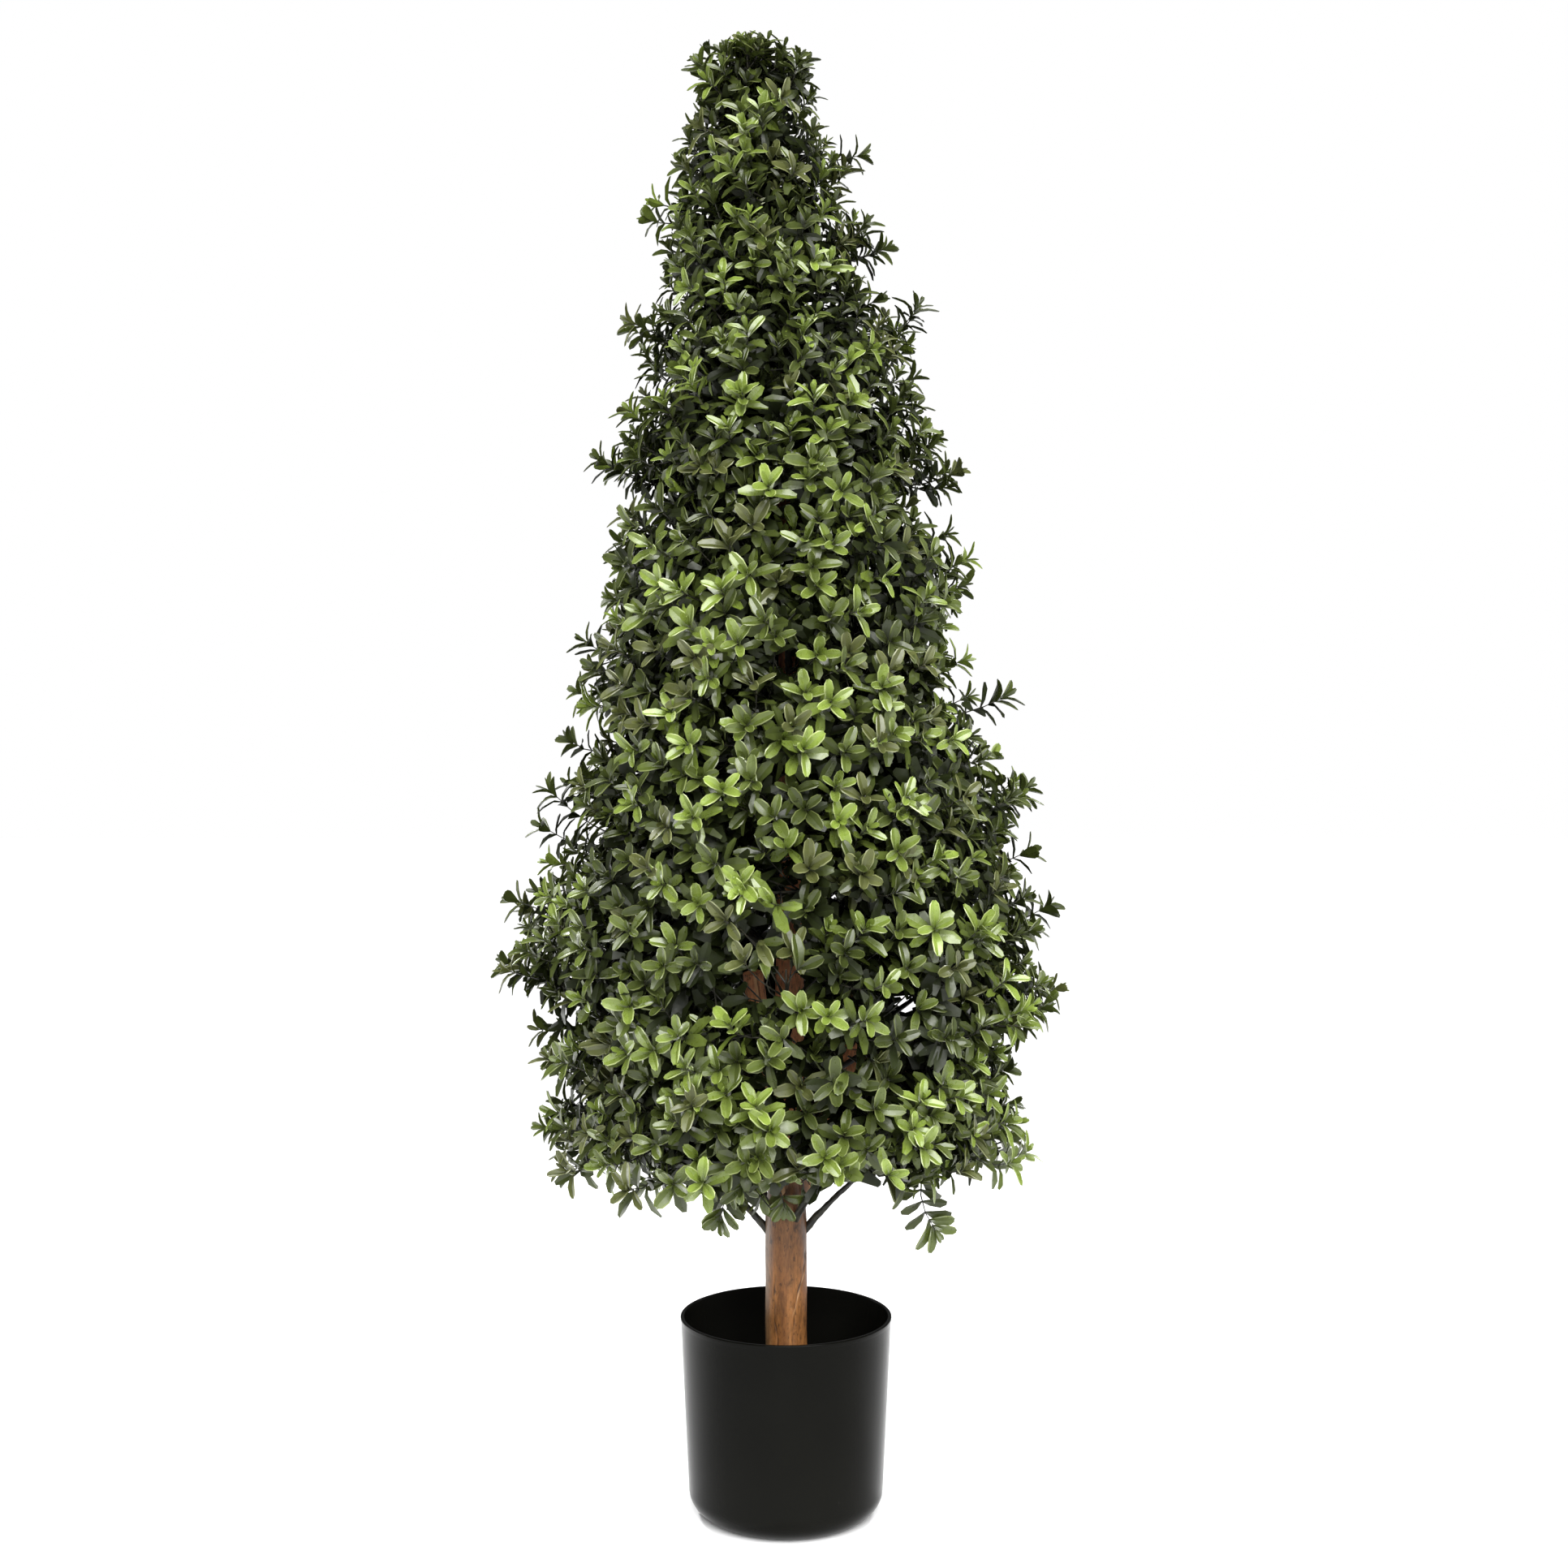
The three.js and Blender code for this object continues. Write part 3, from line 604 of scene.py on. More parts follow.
def crown_radius(z):
    """The plain reach of the crown at a height."""
    if z < WIDEST_HEIGHT:
        share = clamp((z - CROWN_LOW) / (WIDEST_HEIGHT - CROWN_LOW), 0, 1)
        return lerp(CROWN_LOW_RADIUS, WIDEST_RADIUS, share)
    t = (z - WIDEST_HEIGHT) / (SHOULDER_HEIGHT - WIDEST_HEIGHT)
    if t < 1:
        return lerp(WIDEST_RADIUS, SHOULDER_RADIUS, t) + OUTLINE_SWELL * math.sin(math.pi * t)
    cap = clamp((CROWN_TOP - z) / (CROWN_TOP - SHOULDER_HEIGHT), 0, 1)
    return SHOULDER_RADIUS * math.sqrt(1 - (1 - cap) ** 2)


def out_from(azimuth, reach, z):
    """A point at a distance from the middle of the crown."""
    lean = -LEAN * max(z - LEAN_START, 0)
    return vec(lean + reach * math.cos(azimuth), reach * math.sin(azimuth), z)


def tip_of(place):
    """Where a sprig's leaves end."""
    return out_from(place["azimuth"], place["reach"], place["z"])


def tier_surface(tier, foot, reach):
    """The height of the surface at the foot of a tier, at a distance from the middle."""
    slope = lerp(LOWEST_SLOPE, TIER_SLOPE, min(tier / FULL_SLOPE_TIER, 1))
    return foot - slope * (crown_radius(foot) - reach)


def place_at(azimuth, z, reach, lift, **more):
    """A sprig's place: the azimuth, height and reach of its tip, and its lift in degrees.

    It may also have a turn of its end, in radians, a painted shade, and a slimness of its leaves.
    """
    return {"azimuth": azimuth, "z": z, "reach": reach, "lift": lift, **more}


def in_tier(masses, z):
    """The masses whose tier holds a height."""
    return [mass for mass in masses if mass["foot"] <= z < mass["head"]]


def in_lowest(masses):
    """The masses of the lowest tier."""
    return [mass for mass in masses if mass["tier"] == 0]


def nearest_mass(masses, azimuth):
    """The mass whose middle is nearest to an azimuth."""
    return min(masses, key=lambda mass: abs(turn_from(mass["azimuth"], azimuth)))


def main_places(mass):
    """The places of a mass's main sprigs."""
    places = []
    random = mass["random"]
    count = mass["sprigs"]
    for i in range(count):
        if mass["top"]:
            level = i / (count - 1)
            z = lerp(TOP_FOOT + TOP_FIRST_SPRIG, CROWN_TOP - TOP_DROP, level)
            lift = lerp(*TOP_LIFTS, level**1.5)
            places.append(place_at(SPIRAL * i + 0.5, z, crown_radius(z), lift))
        else:
            across = -1 + (2 * i + 1) / count + swing(SPRIG_CHANCE, random)
            low = SPRIG_LEVEL_LOWEST_TIER if mass["tier"] == 0 else SPRIG_LEVEL_LOW
            level = (SPRIG_LEVEL_HIGH if i % 2 else low) + swing(SPRIG_CHANCE, random)
            z = lerp(mass["foot"], mass["head"], level)
            reach = crown_radius(z) + swing(SPRIG_REACH_CHANCE, random)
            azimuth = mass["azimuth"] + SPRIG_SIDES * across * mass["half"]
            places.append(place_at(azimuth, z, reach, between(SPRIG_LIFTS, random)))
    return places


def stand_proud(masses):
    """Moves a main sprig to each proud place."""
    for degrees, height, extra in PROUD_SPRIGS:
        azimuth = math.radians(degrees)
        mass = nearest_mass(in_tier(masses, height), azimuth)
        within = mass["half"] - math.radians(PROUD_INSIDE)
        turn = mass["azimuth"] + clamp(turn_from(mass["azimuth"], azimuth), -within, within)
        tip = out_from(turn, crown_radius(height), height)
        nearest = min(mass["places"], key=lambda place: distance(tip_of(place), tip))
        nearest.update(azimuth=turn, z=height, reach=crown_radius(height) + extra)


def hang_sprigs(masses):
    """Gives each hanging sprig to the mass that it hangs from."""
    for degrees, reach, z, lift in HANGING_SPRIGS:
        azimuth = math.radians(degrees)
        mass = nearest_mass(in_lowest(masses), azimuth)
        mass["places"].append(place_at(azimuth, z, reach, lift, hangs=True))


def list_masses():
    """All masses of foliage from the lowest tier up, with their main places."""
    masses = []
    for tier, (foot, count, sprigs) in enumerate(TIERS):
        head = TIERS[tier + 1][0] if tier + 1 < len(TIERS) else TOP_FOOT
        half = math.pi / count
        for m in range(count):
            azimuth = (2 * m + tier % 2) * half
            masses.append({
                "name": f"foliage_{tier + 1}_{m + 1}", "tier": tier, "foot": foot, "head": head,
                "azimuth": azimuth, "half": half, "sprigs": sprigs, "top": False,
            })
    masses.append({
        "name": "foliage_top", "tier": len(TIERS), "foot": TOP_FOOT, "head": CROWN_TOP,
        "azimuth": 0.0, "half": math.pi, "sprigs": TOP_SPRIGS, "top": True,
    })
    for i, mass in enumerate(masses):
        mass["random"] = random_from(1000 + 37 * i)
        mass["places"] = main_places(mass)
    stand_proud(masses)
    hang_sprigs(masses)
    return masses


# Paths: rows of evenly spaced points.


def even(points, count):
    """The same path with evenly spaced points."""
    steps = np.linalg.norm(np.diff(points, axis=0), axis=1)
    along = np.concatenate([[0], np.cumsum(steps)])
    wanted = np.linspace(0, along[-1], count)
    return np.stack([np.interp(wanted, along, points[:, i]) for i in range(3)], axis=1)


def bezier(a, b, c, count=17):
    """A curve from a to c that bends towards b."""
    t = np.linspace(0, 1, 2 * count)[:, None]
    return even((1 - t) ** 2 * a + 2 * t * (1 - t) * b + t**2 * c, count)


def point_at(path, share):
    at = clamp(share, 0, 1) * (len(path) - 1)
    i = min(int(at), len(path) - 2)
    return lerp(path[i], path[i + 1], at - i)


def path_length(path):
    return float(np.linalg.norm(np.diff(path, axis=0), axis=1).sum())


def core_reach(mass, share):
    """The reach of a mass's middle, from its inner side at share 0 to its outer side at share 1."""
    outer = crown_radius((mass["foot"] + mass["head"]) / 2) - CORE_DEPTH
    return lerp(outer - min(CORE_THICKNESS, CORE_SHARE * outer), outer, share)


def stem_path(mass):
    """A mass's stem, from the trunk out to the middle of the mass."""
    if mass["top"]:
        foot = trunk_middle(TRUNK_TOP)
        return bezier(foot, foot + TOP_STEM_BEND * UP, out_from(0, 0, TRUNK_TOP + TOP_STEM_LENGTH))
    reach = core_reach(mass, STEM_SINK)
    low = tier_surface(mass["tier"], mass["foot"], reach)
    high = tier_surface(mass["tier"] + 1, mass["head"], reach)
    lowest = mass["tier"] == 0
    tip = out_from(mass["azimuth"], reach, (low + high) / 2)
    at_front = math.sin(mass["azimuth"]) < -0.5
    bough_foot = FORK_HEIGHT - BOUGH_DROP + (FRONT_BOUGH_RISE if at_front else 0.0)
    root = trunk_middle(bough_foot if lowest else tip[2] - TIER_SLOPE * reach)
    bend = lerp(root, tip, BOUGH_BEND if lowest else STEM_BEND)
    bend = bend + (BOUGH_BEND_RISE if lowest else STEM_BEND_RISE) * UP
    return bezier(root, bend, tip, 33)


def twig_path(root, place):
    """A twig from a root out to a sprig's place, that turns to its own way at the end.

    The leaves reach on from its tip.
    """
    azimuth = place["azimuth"] + place.get("turn", 0.0)
    away = direction(azimuth, math.radians(place["lift"]))
    tip = tip_of(place) - TIP_RISE * away
    bend = tip - 0.5 * distance(tip, root) * away
    return bezier(root, bend, tip)


# Meshes from arrays.


class Bundle:
    """Many small closed meshes that are joined into one."""

    def __init__(self):
        self.points = []
        self.triangles = []
        self.count = 0

    def add(self, points, triangles):
        self.points.append(points)
        self.triangles.append(triangles + self.count)
        self.count += len(points)

    def joined(self):
        return np.concatenate(self.points), np.concatenate(self.triangles)


def add_object(name, data):
    """A new object in the scene, at the origin."""
    thing = bpy.data.objects.new(name, data)
    bpy.context.scene.collection.objects.link(thing)
    return thing


def make_piece(name, points, triangles, materials, slot, nodes, kinds=None, values=None, crease=None):
    """A smooth mesh object that stands for CAD nodes.

    kinds says which material each triangle has, values gives named numbers for the corners, and edges that
    turn by more than crease degrees are sharp.
    """
    mesh = bpy.data.meshes.new(name)
    mesh.vertices.add(len(points))
    mesh.vertices.foreach_set("co", np.asarray(points, np.float32).ravel())
    mesh.loops.add(3 * len(triangles))
    mesh.loops.foreach_set("vertex_index", np.asarray(triangles, np.int32).ravel())
    mesh.polygons.add(len(triangles))
    mesh.polygons.foreach_set("loop_start", np.arange(0, 3 * len(triangles), 3, dtype=np.int32))
    for material in materials:
        mesh.materials.append(material)
    if kinds is not None:
        mesh.polygons.foreach_set("material_index", np.asarray(kinds, np.int32))
    mesh.update(calc_edges=True)
    mesh.polygons.foreach_set("use_smooth", np.ones(len(triangles), bool))
    if crease is not None:
        mesh.set_sharp_from_angle(angle=math.radians(crease))
    for label, numbers in (values or {}).items():
        layer = mesh.attributes.new(label, "FLOAT", "POINT")
        layer.data.foreach_set("value", np.asarray(numbers, np.float32).ravel())
    piece = add_object(name, mesh)
    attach(piece, "root")
    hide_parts(*nodes)


def sections(path):
    """Two unit directions across each point of a path, that don't twist along it, and the way along it."""
    along = np.gradient(path, axis=0)
    along /= np.linalg.norm(along, axis=1)[:, None]
    start = vec(1, 0, 0) if abs(along[0][2]) > 0.9 else UP
    normal = np.cross(along[0], start)
    normals = []
    for way in along:
        normal = unit(normal - (normal @ way) * way)
        normals.append(normal)
    normals = np.array(normals)
    return normals, np.cross(along, normals), along


def turns_of(sides):
    """The angles of the corners round a ring."""
    return np.arange(sides) * TURN / sides


def ring_faces(rings, sides):
    """The triangles between the rings of a tube, and its two flat ends."""
    a = np.arange((rings - 1) * sides)
    b = a - a % sides + (a + 1) % sides
    skin = np.concatenate([np.stack([a, b, b + sides], 1), np.stack([a, b + sides, a + sides], 1)])
    k = np.arange(1, sides - 1)
    last = (rings - 1) * sides
    low = np.stack([0 * k, k + 1, k], 1)
    high = np.stack([0 * k + last, k + last, k + 1 + last], 1)
    return np.concatenate([skin, low, high])


def tube(path, radii, sides, relief=0.0):
    """A closed round tube. The relief is what is added to its radius at each ring and side."""
    normals, others, _ = sections(path)
    turn = turns_of(sides)
    reach = np.asarray(radii)[:, None] * np.ones(sides) + relief
    cos = (reach * np.cos(turn))[:, :, None]
    sin = (reach * np.sin(turn))[:, :, None]
    points = path[:, None, :] + normals[:, None, :] * cos + others[:, None, :] * sin
    return points.reshape(-1, 3), ring_faces(len(path), sides)


def tapered(path, step, radius, tip_radius, sides):
    """A twig that tapers along every step-th point of a path."""
    shown = path[::step]
    return tube(shown, np.linspace(radius, tip_radius, len(shown)), sides)


def fine_twig(path):
    """One of the many fine twigs, with few faces."""
    return tapered(path, 4, SPRIG_RADIUS, SPRIG_TIP_RADIUS, 3)


def lathe(profile, segments, relief=None):
    """A closed solid from a profile of radius and height that starts and ends on the axis."""
    turn = turns_of(segments)
    rings = np.array(profile[1:-1])
    radius = rings[:, 0][:, None] * np.ones(segments)
    height = rings[:, 1][:, None] * np.ones(segments)
    if relief is not None:
        height = height + relief(radius, turn[None, :], height)
    points = np.stack([radius * np.cos(turn), radius * np.sin(turn), height], 2).reshape(-1, 3)
    count = len(rings)
    ends = np.array([[0, 0, profile[0][1]], [0, 0, profile[-1][1]]])
    skin = ring_faces(count, segments)[: 2 * (count - 1) * segments]
    k = np.arange(segments)
    after = (k + 1) % segments
    low = np.stack([0 * k + count * segments, after, k], 1)
    last = (count - 1) * segments
    high = np.stack([0 * k + count * segments + 1, k + last, after + last], 1)
    return np.concatenate([points, ends]), np.concatenate([skin, low, high])


# Leaves.


def leaf_shape(stations, widths, across, heights, tip):
    """One closed leaf of length 1 along X, with its upper side to +Z.

    Returns its corners and triangles, and which triangles are its rim. Each station has a row of corners
    from the right edge over the midrib to the left edge, and one under the midrib. tip moves the corners of
    the last row back, for a notch. With six corners in a row, the outer faces on top are the rim.
    """
    columns = len(across)
    rows = []
    for x, width in zip(stations, widths):
        row_x = np.full(columns, x) - (np.array(tip) if x == 1 else 0)
        depth = 0.35 + 0.65 * width / max(widths)
        rows.append(np.stack([row_x, width * np.array(across), depth * np.array(heights)], 1))
    triangles = []
    rim = []
    for i in range(len(stations) - 1):
        for k in range(columns):
            a = i * columns + k
            b = i * columns + (k + 1) % columns
            triangles += [(a, a + columns, b + columns), (a, b + columns, b)]
            rim += 2 * [columns == 6 and k in (0, 3)]
    last = (len(stations) - 1) * columns
    for k in range(1, columns - 1):
        triangles += [(0, k, k + 1), (last, last + k + 1, last + k)]
        rim += 2 * [False]
    return np.concatenate(rows), np.array(triangles), np.array(rim, int)


LEAVES = {
    "fine": leaf_shape(
        (0, 0.30, 0.62, 0.88, 1), (0.034, 0.150, 0.222, 0.176, 0.078),
        (-1, -0.80, 0, 0.80, 1, 0), (-0.004, 0.022, -0.056, 0.022, -0.004, -0.080),
        (0.035, 0, 0.050, 0, 0.035, 0.050),
    ),
    "plain": leaf_shape(
        (0, 0.34, 0.76, 1), (0.034, 0.160, 0.218, 0.088),
        (-1, 0, 1, 0), (0.014, -0.058, 0.014, -0.080),
        (0, 0.045, 0, 0.045),
    ),
    "simple": leaf_shape(
        (0, 0.62, 1), (0.036, 0.214, 0.100),
        (-1, 1, 0), (0.012, 0.012, -0.070),
        (0, 0, 0),
    ),
}
LEAF_CREASE = 28


class Foliage:
    """The leaves by tint and detail. A row has base, forward, up, length, width and bend."""

    def __init__(self):
        self.rows = {}

    def add(self, tint, detail, base, forward, up, length, width, bend):
        row = np.concatenate([base, forward, up, [length, width, bend]])
        self.rows.setdefault((tint, detail), []).append(row)

    def leaves(self, tint, detail):
        """The leaves of one tint and detail.

        Returns their corners and triangles, each triangle's kind and the height of its leaf, and how far
        along its leaf each corner is.
        """
        shape, triangles, rim = LEAVES[detail]
        rows = np.array(self.rows[(tint, detail)])
        base, forward, up = rows[:, None, 0:3], rows[:, None, 3:6], rows[:, None, 6:9]
        length, width, bend = rows[:, 9:10], rows[:, 10:11], rows[:, 11:12]
        side = np.cross(up, forward)
        x = shape[:, 0] * length
        y = shape[:, 1] * length * width
        z = (shape[:, 2] + bend * (0.35 * shape[:, 0] - shape[:, 0] ** 2)) * length
        points = base + x[:, :, None] * forward + y[:, :, None] * side + z[:, :, None] * up
        offsets = np.arange(len(rows))[:, None, None] * len(shape)
        faces = (triangles + offsets).reshape(-1, 3)
        heights = np.repeat(rows[:, 2], len(triangles))
        along = np.tile(shape[:, 0], len(rows))
        return points.reshape(-1, 3), faces, np.tile(rim, len(rows)), heights, along

    def mesh(self, tint):
        """All leaves of one tint, as in leaves()."""
        bundle = Bundle()
        rest = []
        for detail in LEAVES:
            if (tint, detail) in self.rows:
                points, triangles, *numbers = self.leaves(tint, detail)
                bundle.add(points, triangles)
                rest.append(numbers)
        return *bundle.joined(), *(np.concatenate(numbers) for numbers in zip(*rest))


# Where leaves may not be.

EYE = np.array(CAMERA_PLACE)
SIGHTS = [
    (EYE, unit(np.array(point) - EYE), FAR if through else distance(np.array(point), EYE), radius)
    for point, radius, through in CLEARINGS
]
SIGHTS += [(np.array(point), unit(np.array(way)), FAR, radius) for point, way, radius in LIGHT_WAYS]


def in_clearing(point):
    """Whether a point is in a line of sight, or a way of the light, that stays free."""
    for start, sight, far, radius in SIGHTS:
        off = point - start
        along = off @ sight
        if 0 < along < far and distance(off, along * sight) < radius:
            return True
    return False


def limb_path(limb):
    """The middle of a sawn limb."""
    out = direction(math.radians(limb["azimuth"]), 0)
    foot = LIMB_FOOT_REACH * out + (FORK_HEIGHT + LIMB_FOOT_RISE) * UP
    tip = limb["reach"] * out + limb["top"] * UP
    return bezier(foot, lerp(foot, tip, 0.5) + LIMB_BOW * out, tip, 48)


WOOD_MARGIN = 0.001
LIMB_TOP_MARGIN = 0.003
LIMB_PATHS = [
    (limb_path(limb), limb["radius"] + WOOD_MARGIN, limb["top"] + LIMB_TOP_MARGIN)
    for limb in LIMBS
]


def in_wood(point):
    """Whether a point is in the trunk or a sawn limb, or nearly."""
    z = point[2]
    if z < TRUNK_TOP and distance(point, trunk_middle(z)) < trunk_radius(z) + WOOD_MARGIN:
        return True
    for path, radius, top in LIMB_PATHS:
        if z < top and np.linalg.norm(path - point, axis=1).min() < radius:
            return True
    return False


# Growth.


def leaf_axes(twig, i, angle, turn, tilt, facing):
    """The ways forward and up of a leaf at the i-th point of a twig, given by its sections.

    The leaf spreads by an angle, stands at a turn round the twig, and is tilted or drawn to a facing.
    """
    normals, others, ways = twig
    out = math.cos(turn) * normals[i] + math.sin(turn) * others[i]
    forward = math.cos(angle) * ways[i] + math.sin(angle) * out
    up = math.sin(angle) * ways[i] - math.cos(angle) * out
    up = unit(math.cos(tilt) * up + math.sin(tilt) * np.cross(forward, up))
    if facing is not None:
        up = up + FACING_PULL * (facing - (facing @ forward) * forward)
        up = unit(up - (up @ forward) * forward)
    return forward, up


def grow_sprig(
    foliage, path, random, spray, leafy=LEAFY_LENGTH, size=1.0, detail=OUTER_DETAIL, facing=None, slim=0.0
):
    """Leaf pairs along the end of a twig, each crossed to the last, or all of them flat to a facing."""
    length = path_length(path)
    normals, others, ways = twig = sections(path)
    roll = TURN * random()
    if facing is not None:
        flat = np.cross(ways[-1], facing)
        roll = math.atan2(flat @ others[-1], flat @ normals[-1])
    back = 0.0
    pair = 0
    while back < min(leafy, length - BARE_FOOT):
        share = 1 - back / length
        i = int(round(share * (len(path) - 1)))
        point = point_at(path, share)
        scale = size * at_pair(PAIR_SIZES, pair)
        tint = spray[at_pair(PAIR_AGE_AND_SHADE, pair)]
        for half in (0, 1):
            angle = math.radians(at_pair(PAIR_SPREADS, pair) + swing(SPREAD_SWING, random))
            turn = roll + math.pi * half + swing(TURN_SWING, random)
            forward, up = leaf_axes(twig, i, angle, turn, swing(TILT_SWING, random), facing)
            leaf_length = LEAF_LENGTH * scale * between(LEAF_LENGTHS, random)
            width = between(LEAF_WIDTHS, random) * (1 - slim)
            bend = between(LEAF_BENDS, random) + slim if pair else BUD_BEND
            ahead = leaf_length * forward
            if not any(in_wood(point + part) or in_clearing(point + part) for part in (0.5 * ahead, ahead)):
                foliage.add(tint, at_pair(detail, pair), point, forward, up, leaf_length, width, bend)
        roll += swing(ROLL_SWING, random) + (CROSSING if facing is None else 0)
        gap = at_pair(PAIR_GAPS, pair) * between(NEAR_ONE, random)
        back += gap if facing is None else FLAT_GAP * gap
        pair += 1


def slimness(azimuth, z):
    """How much narrower the leaves are at a place: at the sides of the view, and towards the top."""
    return SIDE_SLIMNESS * math.cos(azimuth) ** 2 + TOP_SLIMNESS * smooth(z, *TOP_TURN)


def side_shade(azimuth):
    """How much darker the sprays are at the sides of the view, as painted shade."""
    return SIDE_SHADE * math.cos(azimuth) ** 2


def spray_of(random, shade=0.0):
    """The tints of a spray. More painted shade gives darker ones."""
    pick = random() + shade
    for share, spray in SPRAYS:
        pick -= share
        if pick < 0:
            return spray
    return SPRAYS[-1][1]


OUTLINE_HEIGHTS, OUTLINE_LEFT, OUTLINE_RIGHT = zip(*OUTLINE)


def surface_change(azimuth, z):
    """How far the crown's surface is out or in at a place."""
    left = clamp(1 - SIDE_FADE * (1 + math.cos(azimuth)), 0, 1)
    right = clamp(1 - SIDE_FADE * (1 - math.cos(azimuth)), 0, 1)
    at_left = np.interp(z, OUTLINE_HEIGHTS, OUTLINE_LEFT)
    at_right = np.interp(z, OUTLINE_HEIGHTS, OUTLINE_RIGHT)
    swells = sum(size * math.sin(rate * azimuth + up * z + rate) for rate, up, size in OUTLINE_WAVES)
    return float(left * at_left + right * at_right + (1 - left - right) * (swells - WAVES_INWARDS))


def long_places(mass, masses):
    """Places for the long sprigs that belong to a mass."""
    for degrees, z, extra, lift in LONG_SPRIGS:
        azimuth = math.radians(degrees)
        if mass is nearest_mass(in_tier(masses, z), azimuth):
            yield place_at(azimuth, z, crown_radius(z) + extra, lift, shade=LONG_SHADE)


def fineness(z):
    """How close the rows of sprigs are at a height: 1 low down, less towards the top."""
    return lerp(1, FINE_SHARE, smooth(z, *FINE_TURN))


def face_places(mass, grid, random):
    """Azimuths and heights in rows over the outer face of a mass, with some chance in each."""
    height = mass["head"] - mass["foot"]
    fine = fineness(mass["foot"])
    rows = max(1, round(height / (grid[0] * fine)))
    for row in range(rows):
        middle = lerp(mass["foot"], mass["head"], (row + 0.5) / rows)
        arc_length = 2 * mass["half"] * crown_radius(middle)
        columns = max(3 if mass["top"] else 2, round(arc_length / (grid[1] * fine)))
        for column in range(columns):
            across = -1 + (2 * column + 1 + 0.5 * (-1) ** row) / columns + swing(1, random) / columns
            z = middle + swing(ROW_SWING, random) * height / rows
            yield mass["azimuth"] + across * mass["half"], min(z, CROWN_TOP - BELOW_TOP)


def outer_places(mass, random):
    """Places for the sprigs that make the crown's surface, some of them a little under it."""
    for azimuth, z in face_places(mass, OUTER_GRID, random):
        deeper = random() < DEEPER_SHARE
        depth = between(DEEPER_DEPTHS if deeper else OUTER_DEPTHS, random)
        steep = smooth(z, *TOP_TURN)
        lift = lerp(between(SIDE_LIFTS, random), between(STEEP_LIFTS, random), steep)
        reach = max(crown_radius(z) - (depth - surface_change(azimuth, z)), LEAST_REACH)
        # Painted shade: darker sprays a little under the surface and towards the top.
        shade = DEEPER_SHADE if deeper else TOP_SHADE * steep
        turn = swing(OUTER_SWING, random)
        yield place_at(azimuth, z, reach, lift, turn=turn, shade=shade, slim=slimness(azimuth, z))


def cap_places(random):
    """Places for the sprigs on the rounded top of the crown, in a spiral."""
    for i in range(CAP_SPRIGS):
        share = math.sqrt((i + 0.5) / CAP_SPRIGS)
        z = lerp(SHOULDER_HEIGHT, CROWN_TOP, (1 - share**2) ** CAP_FLATNESS) - CAP_DROP * random()
        azimuth = SPIRAL * i + CAP_TURN * random()
        lift = lerp(*CAP_LIFTS, share) + swing(CAP_LIFT_SWING, random)
        turn = swing(CAP_SWING, random)
        yield place_at(azimuth, z, CAP_SHARE * SHOULDER_RADIUS * share, lift, turn=turn, shade=0.0)


def under_places(mass, random):
    """Places for the sprigs on the underside of the lowest tier."""
    for i in range(UNDER_SPRIGS):
        reach = lerp(*UNDER_REACH, math.sqrt((i + random()) / UNDER_SPRIGS))
        azimuth = mass["azimuth"] + (2 * ((GOLDEN_SHARE * i) % 1) - 1) * mass["half"]
        z = tier_surface(0, mass["foot"], reach) - DROOP * random() + UNDER_RISE
        # The underside gets darker sprays, as painted shade.
        yield place_at(azimuth, z, reach, between(UNDER_LIFTS, random), shade=UNDER_SHADE)


def low_places(mass, masses):
    """Places for the short sprigs on the bough of a lowest mass."""
    for degrees, reach, z, lift in LOW_SPRIGS:
        azimuth = math.radians(degrees)
        if mass is nearest_mass(in_lowest(masses), azimuth):
            yield place_at(azimuth, z, reach, lift)


def inner_places(mass, random):
    """Places for the sprigs inside a mass, that close the gaps between the outer ones, dark as painted
    shade.
    """
    for azimuth, z in face_places(mass, INNER_GRID, random):
        z = min(z, CROWN_TOP - INNER_BELOW_TOP)
        surface = crown_radius(z) + surface_change(azimuth, z)
        reach = max(surface - between(INNER_DEPTHS, random), LEAST_INNER_REACH)
        drop = TIER_SLOPE * (crown_radius(z) - reach) * min(mass["tier"] / FULL_SLOPE_TIER, 1)
        lift = between(INNER_LIFTS, random)
        yield place_at(azimuth, z - 0.5 * drop, reach, lift, turn=swing(INNER_SWING, random))
    for degrees, reach, z in DEEP_SPRIGS:
        azimuth = math.radians(degrees)
        if mass["foot"] <= z < mass["head"] and abs(turn_from(mass["azimuth"], azimuth)) <= mass["half"]:
            yield place_at(azimuth, z, reach, DEEP_LIFT)


def clear_path(limb, shares, place, random):
    """A twig to a place from somewhere along a limb, out of the lines of sight if it can be."""
    for _ in range(TRIES):
        path = twig_path(point_at(limb, between(shares, random)), place)
        if not any(in_clearing(point) for point in path[::3]):
            break
    return path


def main_twigs(mass, stem, foliage, wood, random):
    """The main twigs of a mass with their leaves. Returns those that carry finer twigs."""
    twigs = []
    for i, place in enumerate(mass["places"]):
        azimuth = place["azimuth"]
        hangs = "hangs" in place
        if not mass["top"] and not hangs:
            notch = NOTCH_SHARE * min(surface_change(azimuth, place["z"]), 0)
            place = {**place, "reach": place["reach"] + notch}
        root = point_at(stem, lerp(FIRST_TWIG, 1, (i + 0.5) / len(mass["places"])))
        path = twig_path(root, place)
        wood.add(*tapered(path, 2, TWIG_RADIUS, SPRIG_TIP_RADIUS, 4))
        if hangs:
            facing = unit(0.6 * direction(azimuth, 0) + TO_VIEWER)
            grow_sprig(foliage, path, random, HANGING_SPRAY, LONG_LEAFY, HANGING_SIZE, facing=facing)
        else:
            twigs.append(path)
            spray = spray_of(random, side_shade(azimuth))
            grow_sprig(foliage, path, random, spray, slim=slimness(azimuth, place["z"]))
    return twigs


